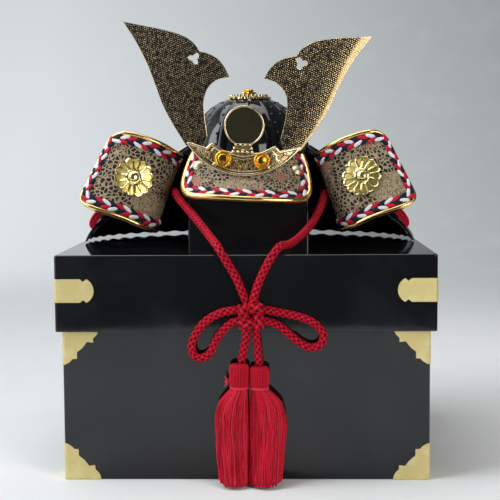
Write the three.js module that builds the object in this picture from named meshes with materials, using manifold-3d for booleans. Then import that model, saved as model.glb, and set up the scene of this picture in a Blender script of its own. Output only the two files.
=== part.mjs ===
// Kabuto helmet on its lacquered storage box.
// Millimetres, +Z up, the front faces -Y, the origin lies under the middle of the box.
import * as THREE from "three";
import { mergeVertices } from "three/addons/utils/BufferGeometryUtils.js";
import Module from "manifold-3d";

const wasm = await Module();
wasm.setup();

// Clearance between neighbouring pieces
const GAP = 0.4;

// Storage box: the lid's skirt goes over the base and its plate rests on the base's rim
const BOX = {
  width: 270,
  depth: 250,
  lidHeight: 54.5,
  baseShowing: 107.5,
  lidWall: 4,
  baseWall: 5,
  fit: 0.4,
  corner: 2,
  bevel: 1.2,
};
const LID_TOP = BOX.baseShowing + BOX.lidHeight;
const BASE_RIM = LID_TOP - BOX.lidWall;
const BASE_INSET = BOX.lidWall + BOX.fit;

// Gold foil on the box corners
const FOIL = { thickness: 0.4, reach: 26, tucked: 2.4, cornerEase: 0.3, lap: 1 };
// One half of a base corner's edge: the end lobe's bulge and root, a tooth, a notch, the middle lobe's bulge
const SCALLOP = {
  endBulge: { far: 25.6, near: 4.4 },
  root: { far: 22, near: 7 },
  tooth: { far: 21.8, near: 10.2 },
  notch: { far: 17.4, near: 9.6 },
  middleBulge: 14.5,
};
// Lid strap: a straight band, a notch at each edge and a round head
const STRAP = { height: 16.7, drop: 16.8, straight: 18.3, waist: 20.5, notch: 1.9, head: 22.9, length: 28 };

// Stand: a block on the lid and a post up into the bowl
const STAND = { width: 95, depth: 56, height: 38, postRadius: 20, sides: 20 };

// Bowl: a dome a little fuller than an egg's end, on a short upright band, with raised ribs
const BOWL = {
  radius: 48.5,
  rise: 51.9,
  fullness: 2.2,
  centre: 63,
  band: 5,
  wall: 1.5,
  ribs: 14,
  ribHeight: 0.8,
  crownRadius: 12,
  innerRings: 5,
  outerRings: 5,
};
// Crown ring and knob: radius of each ring, height above the bowl's top, swell of the petals
const CROWN_PETALS = 14;
const CROWN_PLATE = [
  { r: 7.6, z: 0 },
  { r: 15.3, z: -2.1, swell: 2.5 },
  { r: 15.3, z: -0.2, swell: 2.5 },
  { r: 8.4, z: 1.5 },
  { r: 6.1, z: 1.3 },
];
const KNOB_SIDES = 12;
const CROWN_KNOB = [
  { r: 4.6, z: 0 },
  { r: 5.7, z: 1.3 },
  { r: 3.5, z: 2.4 },
  { r: 3.8, z: 3.2 },
  { r: 1.7, z: 4.4 },
];

// Visor: a cone around the bowl's axis, cut to a rounded trapezoid
const VISOR = {
  top: 70,
  bottom: 35,
  topRadius: 49.2,
  bottomRadius: 80,
  topAngle: 60,
  bottomAngle: 38,
  halfWidth: 48,
  corner: 13,
  thickness: 1.6,
  columns: 10,
};
// Rows of facets down the visor, as shares of its length, close together at the rounded corners
const VISOR_ROWS = [0, 0.4, 0.75, 0.9, 0.97, 1];
const STUD = { angle: 39.4, height: 58.6, sides: 12 };
const STUD_PROFILE = [
  { r: 4.3, z: 0 },
  { r: 3.9, z: 1.2 },
  { r: 2.1, z: 2.6 },
];

// Trim shared by the visor and the flaps
const RIM = { radius: 1.4, steps: 20, sides: 5 };
const BRAID = { start: 3.4, width: 4.6, thickness: 1.6, clear: 1, columns: 20, endMargin: 0.01 };

// Crest: everything at the front leans a little to one side, about the bowl's middle
const CREST = { tilt: 3.1, shift: -3.2, front: -66.2, bend: 0.0035, thickness: 2.2 };
// Crescent holder: a round lower edge, and an upper edge with two peaks
const HOLDER = { arcRadius: 52.6, low: 53.8, tip: 43 };
const HOLDER_TOP = [
  { x: 0, z: 69 },
  { x: 15.2, z: 71.6 },
  { x: 24.5, z: 76.6 },
  { x: 28, z: 73 },
  { x: 43.6, z: 77 },
];
const HOLDER_STATIONS = [0, 8, 15.2, 20, 24.5, 28, 33, 38, HOLDER.tip];
const HOLDER_ROSETTE = { across: 14.5, height: 65.6, radius: 6.3, rise: 2.6, petals: 10 };
// Petalled rosette: each ring's radius, height and swell as shares of the rosette's own
const PETAL_SWELL = 0.13;
const PETAL_RINGS = [
  { r: 1, z: 0, swell: 1 },
  { r: 1, z: 0.35, swell: 1 },
  { r: 0.72, z: 0.62, swell: 0.5 },
  { r: 0.4, z: 0.35, swell: 0 },
  { r: 0.33, z: 0.75, swell: 0 },
  { r: 0.16, z: 1, swell: 0 },
];
const MIRROR = { height: 90.8, radius: 15.1, thickness: 2.4, rim: 1.6, ramp: 0.4, recess: 0.7, back: 2.4 };
const MIRROR_SIDES = 24;
const MIRROR_FOOT = { width: 17, height: 6.8, thickness: 3.4, corner: 2 };
const HORN = { pivot: 36, thickness: 1.4, behind: 2.5 };
const HORN_EYE = { out: 40.1, up: 139.2, radius: 3.4, lobes: 3, turn: 8, swell: 0.35, points: 18 };

// How much further each horn's tip reaches than the outline below
const HORN_STRETCH = { left: { out: 4, up: 3 }, right: { out: 0, up: 0 } };

// Horn outline seen from the front: outward from the crest's middle, and height above the lid
const HORN_TIP = { out: 92.5, up: 162.5 };
const HORN_TOP = [
  { out: 68, up: 160 },
  { out: 54, up: 157.4 },
  { out: 45.5, up: 154.2 },
  { out: 39.6, up: 149.5 },
  { out: 36.2, up: 144.5 },
];
const HORN_LOBE = [
  { out: 29.3, up: 143 },
  { out: 21.9, up: 139.1 },
  { out: 16.5, up: 133 },
  { out: 12.8, up: 126.4 },
];
const HORN_INNER = [
  { out: 20.8, up: 124.4 },
  { out: 26, up: 120.7 },
  { out: 29.4, up: 115.9 },
  { out: 30.9, up: 110 },
  { out: 30.4, up: 98 },
  { out: 27.4, up: 82 },
];
const HORN_ROOT = [
  { out: 31, up: 70.6 },
  { out: 43, up: 74.2 },
];
const HORN_OUTER = [
  { out: 52.4, up: 88.3 },
  { out: 60.7, up: 102.5 },
  { out: 67, up: 117.7 },
  { out: 73.6, up: 133 },
  { out: 83, up: 149.4 },
];

// Turn-back flaps: the top and bottom edges from the outer corner to the inner edge rolled back
const FLAP = { width: 70, height: 62, corner: 9, thickness: 1.5, innerMargin: 0.5, columns: 11 };
const FLAP_ROWS = [0, 0.05, 0.14, 0.86, 0.95, 1];
const FLAP_TOP = [
  { out: 104.8, y: -36, z: 87.2 },
  { out: 93.3, y: -38, z: 88.2 },
  { out: 78.1, y: -36, z: 84.5 },
  { out: 64.2, y: -31, z: 78.6 },
  { out: 53.4, y: -20, z: 71 },
  { out: 52.6, y: -8, z: 71 },
];
const FLAP_BOTTOM = [
  { out: 131, y: -54, z: 33 },
  { out: 113.9, y: -57, z: 26.4 },
  { out: 97.4, y: -54, z: 20.6 },
  { out: 83.4, y: -49, z: 14 },
  { out: 74.1, y: -38, z: 9.4 },
  { out: 73, y: -32, z: 9 },
];
const FLAP_ROSETTE = { along: 0.44, down: 0.5, radius: 15.2, rise: 4.2, petals: 12 };

// Neck guard: tiers of a bun-shaped flare, open at the front
const GUARD = {
  tiers: 4,
  top: 76,
  bottom: 1.2,
  topRadius: 48.7,
  sideRadius: 131,
  backRadius: 104,
  bulge: 1.5,
  openAngle: 102,
  thickness: 1.5,
  overlap: 0.03,
  tuck: 2.3,
  waves: 29,
  waveDepth: 0.016,
  columns: 18,
  columnsPerWave: 3,
};

// Red cord: the routes are chosen by hand, measured from the middle of the lid's top
const CORD = { radius: 3.15, sides: 8, chinSteps: 37, loopSteps: 12, tailSteps: 3 };
const KNOT_LOBE = { radius: 5.6, spread: 5, columns: 10, rows: 6 };
const KNOT = { x: 4, y: -131, z: -42.5 };
const LOOP_Y = -128.9;
const CHIN_CORD = [
  { x: -0.6, y: -129, z: -29.4 },
  { x: -6.2, y: -128.8, z: -15.8 },
  { x: -13, y: -129.2, z: -4 },
  { x: -17.2, y: -128.9, z: 2.8 },
  { x: -19.5, y: -124.8, z: 6.3 },
  { x: -22, y: -116, z: 8.2 },
  { x: -25.5, y: -105, z: 11.2 },
  { x: -38.2, y: -75, z: 22.9 },
  { x: -47.6, y: -52, z: 30.8 },
  { x: -53.4, y: -39, z: 36 },
  { x: -57, y: -28, z: 40.4 },
  { x: -58.4, y: -10, z: 39.8 },
  { x: -58.6, y: 10, z: 35.2 },
  { x: -55.3, y: 30, z: 28.6 },
  { x: -44, y: 37.5, z: 26.8 },
  { x: -20, y: 41, z: 26.4 },
  { x: 0, y: 41.4, z: 26.2 },
  { x: 22, y: 40.6, z: 25.6 },
  { x: 45, y: 36.6, z: 24 },
  { x: 56.2, y: 29, z: 22.6 },
  { x: 59.2, y: 8, z: 31 },
  { x: 60, y: -13, z: 38.6 },
  { x: 58, y: -28, z: 33.8 },
  { x: 55.4, y: -42, z: 27.9 },
  { x: 52.2, y: -54, z: 22.9 },
  { x: 48.6, y: -66, z: 18.2 },
  { x: 40.5, y: -90, z: 11.1 },
  { x: 31, y: -113, z: 6.2 },
  { x: 24.6, y: -123.8, z: 5.8 },
  { x: 20.6, y: -128.8, z: 1.6 },
  { x: 15.8, y: -129.6, z: -6 },
  { x: 9.8, y: -130.4, z: -18.5 },
  { x: 6.2, y: -131.4, z: -29.4 },
];
const LOOP_LEFT = [
  { x: -7.6, z: -38.6 },
  { x: -17.2, z: -40.4 },
  { x: -27.3, z: -46 },
  { x: -34.5, z: -54.6 },
  { x: -37.9, z: -64 },
  { x: -36.1, z: -70.6 },
  { x: -31.1, z: -72.4 },
  { x: -25.3, z: -69.2 },
  { x: -21.7, z: -61.9 },
  { x: -15.8, z: -52.9 },
  { x: -8, z: -46.6 },
];
const LOOP_RIGHT = [
  { x: 15.6, z: -38.6 },
  { x: 25.7, z: -40.6 },
  { x: 39.9, z: -44 },
  { x: 49.9, z: -49.1 },
  { x: 54.6, z: -56.2 },
  { x: 52.8, z: -62.8 },
  { x: 47.1, z: -65.3 },
  { x: 39.9, z: -62.8 },
  { x: 31.4, z: -56.2 },
  { x: 23.6, z: -49.6 },
  { x: 16, z: -46.6 },
];
const TAIL_LEFT = [
  { x: 0.3, z: -53.6 },
  { x: -1, z: -65 },
  { x: -3, z: -75 },
];
const TAIL_RIGHT = [
  { x: 7.6, z: -53.6 },
  { x: 8.6, z: -66 },
  { x: 9.6, z: -77.4 },
];

// Tassels: a bound head and a skirt of locks that swells and falls to just above the ground
const TASSEL = { y: -130.6, waist: 6, halfDepth: 8.6, hem: -160.4, headSides: 10 };
const LOCK = { count: 6, radius: 3.6, steps: 4, sides: 5, fill: 1.1 };
// The head's rings: share of the way from its top to its tie, and radius
const TASSEL_HEAD = [
  { share: 0, r: 3.8 },
  { share: 0.2, r: 6.4 },
  { share: 0.8, r: 6.4 },
  { share: 1, r: TASSEL.waist },
];
// The skirt's fall: share of the height, how far it leans to its middle and swells, and its spread in front
const SKIRT_FALL = [
  { share: 0, lean: 0, swell: 0, spread: 0 },
  { share: 0.12, lean: 0.6, swell: 0.6, spread: 0 },
  { share: 0.38, lean: 1, swell: 1, spread: 0 },
  { share: 1, lean: 0.7, swell: 0.82, spread: 5 },
];
const TASSELS = [
  { side: "left", head: -4.5, top: -76.2, tie: -93.2, middle: -10, halfWidth: 11.7 },
  { side: "right", head: 9.6, top: -78.2, tie: -93.6, middle: 15.6, halfWidth: 12.9 },
];

// Finishes seen in the photograph
const FINISH = {
  lacquer: { color: 0x0c0e12, roughness: 0.12, metalness: 0 },
  foil: { color: 0xd9c25a, roughness: 0.4, metalness: 1 },
  gold: { color: 0xd9a441, roughness: 0.22, metalness: 1 },
  darkGold: { color: 0x8d7444, roughness: 0.35, metalness: 1 },
  mirror: { color: 0x5c5138, roughness: 0.15, metalness: 1 },
  leather: { color: 0x8a7350, roughness: 0.75, metalness: 0 },
  braid: { color: 0x9a4a58, roughness: 0.8, metalness: 0 },
  cord: { color: 0xb5121f, roughness: 0.7, metalness: 0 },
};

const TAU = Math.PI * 2;
const MERGE_DISTANCE = 1e-4;
const SLOPE_STEP = 1e-3;
const PAIR = [
  { side: "left", sign: -1 },
  { side: "right", sign: 1 },
];
const radians = THREE.MathUtils.degToRad;
const lerp = THREE.MathUtils.lerp;

// A geometry with its shared corners merged and its empty triangles left out
function closed(geometry) {
  const plain = geometry.clone();
  plain.deleteAttribute("normal");
  plain.deleteAttribute("uv");
  const merged = mergeVertices(plain, MERGE_DISTANCE);
  const index = merged.index.array;
  const kept = [];
  for (let i = 0; i < index.length; i += 3) {
    const [a, b, c] = [index[i], index[i + 1], index[i + 2]];
    if (a !== b && b !== c && c !== a) kept.push(a, b, c);
  }
  merged.setIndex(kept);
  return merged;
}

function solidOf(geometry) {
  const shape = closed(geometry);
  const vertProperties = Float32Array.from(shape.attributes.position.array);
  const triVerts = Uint32Array.from(shape.index.array);
  return new wasm.Manifold(new wasm.Mesh({ numProp: 3, vertProperties, triVerts }));
}

function geometryOf(solid) {
  const mesh = solid.getMesh();
  const geometry = new THREE.BufferGeometry();
  geometry.setAttribute("position", new THREE.BufferAttribute(mesh.vertProperties, 3));
  geometry.setIndex(new THREE.BufferAttribute(mesh.triVerts, 1));
  return geometry;
}

const join = (...geometries) =>
  geometryOf(geometries.map(solidOf).reduce((whole, next) => whole.add(next)));
const cut = (body, tool) => geometryOf(solidOf(body).subtract(solidOf(tool)));
const overlap = (body, tool) => geometryOf(solidOf(body).intersect(solidOf(tool)));

// A geometry from corner points and triangles, turned so that its faces point out
function faceted(points, triangles) {
  let volume = 0;
  for (const [a, b, c] of triangles) {
    volume += points[a].dot(points[b].clone().cross(points[c]));
  }
  const order = volume < 0 ? triangles.map(([a, b, c]) => [a, c, b]) : triangles;
  const geometry = new THREE.BufferGeometry().setFromPoints(points);
  geometry.setIndex(order.flat());
  return geometry;
}

function piece(name, geometry, finish) {
  const mesh = new THREE.Mesh(closed(geometry), new THREE.MeshStandardMaterial(finish));
  mesh.name = name;
  return mesh;
}

// The way a surface in two coordinates faces at one spot
function facing(surface, a, b) {
  const along = surface(a + SLOPE_STEP, b).sub(surface(a - SLOPE_STEP, b));
  const down = surface(a, b + SLOPE_STEP).sub(surface(a, b - SLOPE_STEP));
  return along.cross(down).normalize();
}

// A closed wall around a surface: grid gives the surface's two coordinates at a row and column
function wall(surface, grid, columns, rows, thickness) {
  const points = [];
  for (const side of [0.5, -0.5]) {
    for (let row = 0; row <= rows; row += 1) {
      for (let column = 0; column <= columns; column += 1) {
        const [a, b] = grid(column / columns, row / rows);
        points.push(surface(a, b).addScaledVector(facing(surface, a, b), side * thickness));
      }
    }
  }
  const across = columns + 1;
  const layer = across * (rows + 1);
  const triangles = [];
  const quad = (a, b, c, d) => triangles.push([a, b, c], [a, c, d]);
  for (let row = 0; row < rows; row += 1) {
    for (let column = 0; column < columns; column += 1) {
      const a = row * across + column;
      quad(a, a + 1, a + across + 1, a + across);
      quad(layer + a, layer + a + across, layer + a + across + 1, layer + a + 1);
    }
  }
  for (let column = 0; column < columns; column += 1) {
    const last = rows * across + column;
    quad(column, layer + column, layer + column + 1, column + 1);
    quad(last, last + 1, layer + last + 1, layer + last);
  }
  for (let row = 0; row < rows; row += 1) {
    const first = row * across;
    const end = first + columns;
    quad(first, first + across, layer + first + across, layer + first);
    quad(end, layer + end, layer + end + across, end + across);
  }
  return faceted(points, triangles);
}

const plain = () => 0;

// A lathe whose rings may swell into lobes: rows give radius, height and the lobes' swell
function lobedLathe(profile, columns, lobe = plain) {
  const points = [];
  const triangles = [];
  for (const { r, z, swell = 0 } of profile) {
    for (let column = 0; column < columns; column += 1) {
      const turn = (column / columns) * TAU;
      const radius = r + swell * lobe(column / columns);
      points.push(new THREE.Vector3(radius * Math.cos(turn), radius * Math.sin(turn), z));
    }
  }
  const last = profile.length - 1;
  for (let row = 0; row < last; row += 1) {
    for (let column = 0; column < columns; column += 1) {
      const next = (column + 1) % columns;
      const [a, b] = [row * columns + column, row * columns + next];
      triangles.push([a, b, b + columns], [a, b + columns, a + columns]);
    }
  }
  const start = points.push(new THREE.Vector3(0, 0, profile[0].z)) - 1;
  const finish = points.push(new THREE.Vector3(0, 0, profile[last].z)) - 1;
  for (let column = 0; column < columns; column += 1) {
    const next = (column + 1) % columns;
    triangles.push([start, next, column], [finish, last * columns + column, last * columns + next]);
  }
  return faceted(points, triangles);
}

function circle(radius, sides) {
  const spots = Array.from({ length: sides }, (_, side) => (side / sides) * TAU);
  return new THREE.Shape(spots.map((t) => new THREE.Vector2(radius * Math.cos(t), radius * Math.sin(t))));
}

function tube(points, radius, steps, sides) {
  const extrudePath = new THREE.CatmullRomCurve3(points, false, "centripetal");
  return new THREE.ExtrudeGeometry(circle(radius, sides), { steps, extrudePath });
}

function roundedRectangle(width, depth, corner) {
  const [x, y] = [width / 2, depth / 2];
  const shape = new THREE.Shape();
  shape.moveTo(corner - x, -y);
  shape.lineTo(x - corner, -y);
  shape.absarc(x - corner, corner - y, corner, -Math.PI / 2, 0);
  shape.lineTo(x, y - corner);
  shape.absarc(x - corner, y - corner, corner, 0, Math.PI / 2);
  shape.lineTo(corner - x, y);
  shape.absarc(corner - x, y - corner, corner, Math.PI / 2, Math.PI);
  shape.lineTo(-x, corner - y);
  shape.absarc(corner - x, corner - y, corner, Math.PI, Math.PI * 1.5);
  return shape;
}

function slab(shape, from, to, bevel = 0) {
  const edges = { bevelEnabled: bevel > 0, bevelSize: bevel, bevelThickness: bevel, bevelOffset: -bevel };
  const settings = { depth: to - from - 2 * bevel, bevelSegments: 1, curveSegments: 2, ...edges };
  return new THREE.ExtrudeGeometry(shape, settings).translate(0, 0, from + bevel);
}

const box = new THREE.Group();
const helmet = new THREE.Group();
helmet.position.z = LID_TOP;

// Storage box
function buildBase() {
  const width = BOX.width - 2 * BASE_INSET;
  const depth = BOX.depth - 2 * BASE_INSET;
  const inside = [width - 2 * BOX.baseWall, depth - 2 * BOX.baseWall];
  const block = slab(roundedRectangle(width, depth, BOX.corner), 0, BASE_RIM);
  const hollow = slab(roundedRectangle(...inside, BOX.corner), BOX.baseWall, LID_TOP);
  box.add(piece("box_base", cut(block, hollow), FINISH.lacquer));
}

function buildLid() {
  const outline = roundedRectangle(BOX.width, BOX.depth, BOX.corner);
  const inside = [BOX.width - 2 * BOX.lidWall, BOX.depth - 2 * BOX.lidWall];
  const skirt = slab(outline, BOX.baseShowing, LID_TOP - BOX.bevel);
  const plate = slab(outline, LID_TOP - 3 * BOX.bevel, LID_TOP, BOX.bevel);
  const hollow = slab(roundedRectangle(...inside, BOX.corner), 0, BASE_RIM);
  box.add(piece("box_lid", cut(join(skirt, plate), hollow), FINISH.lacquer));
}

// A thin L round an upright corner at the origin, with arms along +X and +Y, cut to an outline that
// is sunk a little below the L's foot
function cornerFoil(outline, height, reach, sunk = 0) {
  const skin = FOIL.thickness;
  const inner = BOX.corner - FOIL.cornerEase;
  const outer = BOX.corner + skin;
  const section = new THREE.Shape();
  section.moveTo(reach, -skin);
  section.lineTo(BOX.corner, -skin);
  section.absarc(BOX.corner, BOX.corner, outer, -Math.PI / 2, Math.PI, true);
  section.lineTo(-skin, reach);
  section.lineTo(0, reach);
  section.lineTo(0, inner);
  section.absarc(inner, inner, inner, Math.PI, -Math.PI / 2, false);
  section.lineTo(reach, 0);
  const shell = slab(section, 0, height);
  const half = BOX.corner;
  const front = slab(outline, -half, half).rotateX(Math.PI / 2).translate(0, 0, -sunk);
  const side = front.clone().rotateZ(Math.PI / 2);
  return overlap(shell, join(front, side));
}

function scallopOutline() {
  const { endBulge, root, tooth, notch, middleBulge } = SCALLOP;
  const shape = new THREE.Shape();
  shape.moveTo(-FOIL.lap, 0);
  shape.lineTo(FOIL.reach, 0);
  shape.quadraticCurveTo(endBulge.far, endBulge.near, root.far, root.near);
  shape.lineTo(tooth.far, tooth.near);
  shape.lineTo(notch.far, notch.near);
  shape.quadraticCurveTo(middleBulge, middleBulge, notch.near, notch.far);
  shape.lineTo(tooth.near, tooth.far);
  shape.lineTo(root.near, root.far);
  shape.quadraticCurveTo(endBulge.near, endBulge.far, -FOIL.lap, FOIL.reach);
  return shape;
}

function strapOutline() {
  const { height, straight, waist, notch, head, length } = STRAP;
  const middle = height / 2;
  const bulge = length - head;
  const radius = (bulge * bulge + middle * middle) / (2 * bulge);
  const opening = Math.asin(middle / radius);
  const shape = new THREE.Shape();
  shape.moveTo(-FOIL.lap, 0);
  shape.lineTo(straight, 0);
  shape.lineTo(waist, notch);
  shape.absarc(length - radius, middle, radius, -opening, opening);
  shape.lineTo(waist, height - notch);
  shape.lineTo(straight, height);
  shape.lineTo(-FOIL.lap, height);
  return shape;
}

// Puts one copy of a foil on each upright corner of a rectangle
function foilCorners(prefix, geometry, width, depth, z) {
  const corners = [
    { name: "front_left", x: -width / 2, y: -depth / 2, turn: 0 },
    { name: "front_right", x: width / 2, y: -depth / 2, turn: 1 },
    { name: "back_right", x: width / 2, y: depth / 2, turn: 2 },
    { name: "back_left", x: -width / 2, y: depth / 2, turn: 3 },
  ];
  for (const { name, x, y, turn } of corners) {
    const turned = geometry.clone().rotateZ((turn * Math.PI) / 2);
    const foil = piece(`${prefix}_${name}`, turned, FINISH.foil);
    foil.position.set(x, y, z);
    box.add(foil);
  }
}

function buildFoil() {
  const width = BOX.width - 2 * BASE_INSET;
  const depth = BOX.depth - 2 * BASE_INSET;
  const reach = FOIL.reach + FOIL.lap;
  const low = cornerFoil(scallopOutline(), reach, reach);
  const high = cornerFoil(scallopOutline(), reach, reach, FOIL.tucked);
  const hanging = high.clone().rotateX(Math.PI).rotateZ(Math.PI / 2);
  foilCorners("base_foil_bottom", low, width, depth, GAP);
  foilCorners("base_foil_top", hanging, width, depth, BOX.baseShowing - GAP);
  const strap = cornerFoil(strapOutline(), STRAP.height, STRAP.length + FOIL.lap);
  foilCorners("lid_strap", strap, BOX.width, BOX.depth, LID_TOP - STRAP.drop - STRAP.height);
}

// Stand and bowl
// A spot on the dome or on its inside, at a tilt from upright
function domeSpot(shrink, tilt) {
  const power = 2 / BOWL.fullness;
  const r = (BOWL.radius - shrink) * Math.sin(tilt) ** power;
  return { r, z: BOWL.centre + (BOWL.rise - shrink) * Math.max(0, Math.cos(tilt)) ** power };
}

// The tilt at which the dome has a radius
const domeTilt = (shrink, r) => Math.asin((r / (BOWL.radius - shrink)) ** (BOWL.fullness / 2));
const domeHeight = (shrink, r) => domeSpot(shrink, domeTilt(shrink, r)).z;

function buildStand() {
  const block = new THREE.BoxGeometry(STAND.width, STAND.depth, STAND.height);
  block.translate(0, 0, STAND.height / 2);
  const under = BOWL.wall + 2 * GAP;
  const shoulder = domeHeight(under, STAND.postRadius);
  const half = STAND.postRadius / 2;
  const profile = [
    new THREE.Vector2(0, STAND.height / 2),
    new THREE.Vector2(STAND.postRadius, STAND.height / 2),
    new THREE.Vector2(STAND.postRadius, shoulder),
    new THREE.Vector2(half, domeHeight(under, half)),
    new THREE.Vector2(0, domeHeight(under, 0)),
  ];
  const post = new THREE.LatheGeometry(profile, STAND.sides).rotateX(Math.PI / 2);
  helmet.add(piece("stand", join(block, post), FINISH.lacquer));
}

function buildBowl() {
  const { radius, wall, innerRings, outerRings } = BOWL;
  const foot = BOWL.centre - BOWL.band;
  const crown = domeTilt(0, BOWL.crownRadius);
  const profile = [];
  for (let ring = 0; ring <= innerRings; ring += 1) {
    profile.push(domeSpot(wall, lerp(crown / 2, Math.PI / 2, ring / innerRings)));
  }
  profile.push({ r: radius - wall, z: foot }, { r: radius, z: foot });
  for (let ring = outerRings; ring >= 0; ring -= 1) {
    const swell = ring < outerRings ? BOWL.ribHeight : 0;
    profile.push({ ...domeSpot(0, lerp(crown, Math.PI / 2, ring / outerRings)), swell });
  }
  const perRib = 2;
  const rib = (turn) => (Math.round(turn * BOWL.ribs * perRib) % perRib === 0 ? 1 : 0);
  helmet.add(piece("bowl", lobedLathe(profile, BOWL.ribs * perRib, rib), FINISH.lacquer));
}

// Petals around a lathe: every second column swells
const petalsAround = (count) => (turn) => Math.round(turn * count * 2) % 2;

function buildCrown() {
  const ring = lobedLathe(CROWN_PLATE, CROWN_PETALS * 2, petalsAround(CROWN_PETALS));
  const plate = piece("crown_plate", ring, FINISH.gold);
  plate.position.z = BOWL.centre + BOWL.rise + GAP;
  const finial = piece("crown_finial", lobedLathe(CROWN_KNOB, KNOB_SIDES), FINISH.gold);
  finial.position.z = plate.position.z + CROWN_PLATE.at(-1).z + GAP;
  helmet.add(plate, finial);
}

// Trim on a panel: the panel's surface, its outline at any inset, and which of its sides is outside
function panelTrim(surface, outlineAt, outside) {
  const outward = (spot) => facing(surface, spot.x, spot.y).multiplyScalar(outside);
  const raised = (spot, height) => surface(spot.x, spot.y).addScaledVector(outward(spot), height);
  const spotAt = (inset, along) => outlineAt(inset).getPointAt(along);
  return { outward, raised, spotAt };
}

function rimTube(trim) {
  const points = [];
  for (let step = 0; step <= RIM.steps; step += 1) {
    points.push(trim.raised(trim.spotAt(RIM.radius, step / RIM.steps), 0));
  }
  return tube(points, RIM.radius, RIM.steps, RIM.sides);
}

function braidBand(trim, panelThickness) {
  const height = panelThickness / 2 + BRAID.clear + BRAID.thickness / 2;
  const inset = (across) => BRAID.start + across * BRAID.width;
  const surface = (along, across) => {
    const held = THREE.MathUtils.clamp(along, 0, 1);
    return trim.raised(trim.spotAt(inset(across), held), height);
  };
  const grid = (u, v) => [lerp(BRAID.endMargin, 1 - BRAID.endMargin, u), v];
  return wall(surface, grid, BRAID.columns, 1, BRAID.thickness);
}

// Sets a piece made along +Z on a panel, facing out
function seatOn(trim, mesh, spot, height) {
  mesh.position.copy(trim.raised(spot, height));
  mesh.quaternion.setFromUnitVectors(new THREE.Vector3(0, 0, 1), trim.outward(spot));
  return mesh;
}

// Visor
const front = new THREE.Group();
front.position.z = BOWL.centre;
front.rotation.y = radians(CREST.tilt);
const crest = new THREE.Group();
crest.position.set(CREST.shift, 0, -BOWL.centre);
const peak = new THREE.Group();
peak.position.z = -BOWL.centre;
front.add(peak, crest);
helmet.add(front);

const visorLength = Math.hypot(VISOR.bottomRadius - VISOR.topRadius, VISOR.top - VISOR.bottom);

// Across runs over the half width on each side, down runs over the visor's length
function visorSurface(across, down) {
  const share = down / visorLength;
  const angle = radians(lerp(VISOR.topAngle, VISOR.bottomAngle, share)) * (across / VISOR.halfWidth);
  const r = lerp(VISOR.topRadius, VISOR.bottomRadius, share);
  return new THREE.Vector3(r * Math.sin(angle), -r * Math.cos(angle), lerp(VISOR.top, VISOR.bottom, share));
}

function visorOutline(inset) {
  const half = VISOR.halfWidth - inset;
  const low = visorLength - inset;
  const corner = VISOR.corner - inset / 2;
  const path = new THREE.Path();
  path.moveTo(-half, 0);
  path.lineTo(-half, low - corner);
  path.quadraticCurveTo(-half, low, corner - half, low);
  path.lineTo(half - corner, low);
  path.quadraticCurveTo(half, low, half, low - corner);
  path.lineTo(half, 0);
  return path;
}

// The half width left at a depth by a corner rounded like the outline's
function roundedReach(half, low, corner, down) {
  const past = Math.max(0, down - (low - corner)) / corner;
  const t = 1 - Math.sqrt(1 - Math.min(past, 1));
  return half - corner * t * t;
}

function buildVisor() {
  const inset = 2 * (RIM.radius + GAP);
  const half = VISOR.halfWidth - inset;
  const low = visorLength - inset;
  const lastRow = VISOR_ROWS.length - 1;
  const grid = (u, v) => {
    const down = low * VISOR_ROWS[Math.round(v * lastRow)];
    return [roundedReach(half, low, VISOR.corner, down) * (2 * u - 1), down];
  };
  const sheet = wall(visorSurface, grid, VISOR.columns, lastRow, VISOR.thickness);
  const trim = panelTrim(visorSurface, visorOutline, -1);
  peak.add(piece("visor", sheet, FINISH.leather));
  peak.add(piece("visor_rim", rimTube(trim), FINISH.gold));
  peak.add(piece("visor_braid", braidBand(trim, VISOR.thickness), FINISH.braid));
  const share = (VISOR.top - STUD.height) / (VISOR.top - VISOR.bottom);
  const angle = lerp(VISOR.topAngle, VISOR.bottomAngle, share);
  for (const { side, sign } of PAIR) {
    const spot = new THREE.Vector2((sign * VISOR.halfWidth * STUD.angle) / angle, share * visorLength);
    const stud = piece(`visor_stud_${side}`, lobedLathe(STUD_PROFILE, STUD.sides), FINISH.gold);
    peak.add(seatOn(trim, stud, spot, VISOR.thickness / 2 + GAP));
  }
}

// Crest: the holder bends back towards its tips, so the horns sweep back behind it
const crestY = (x) => CREST.front + CREST.bend * x * x;

function holderTop(x) {
  const out = Math.abs(x);
  const next = HOLDER_TOP.findIndex((row, index) => index > 0 && row.x >= out);
  const [a, b] = [HOLDER_TOP[next - 1], HOLDER_TOP[next]];
  return lerp(a.z, b.z, (out - a.x) / (b.x - a.x));
}

function holderLow(x) {
  return HOLDER.low + HOLDER.arcRadius - Math.sqrt(HOLDER.arcRadius ** 2 - x * x);
}

function petalRosette({ radius, rise, petals }) {
  const edge = radius * (1 - PETAL_SWELL);
  const rings = PETAL_RINGS.map(({ r, z, swell }) => ({
    r: edge * r,
    z: rise * z,
    swell: radius * PETAL_SWELL * swell,
  }));
  return lobedLathe(rings, petals * 2, petalsAround(petals));
}

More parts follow.
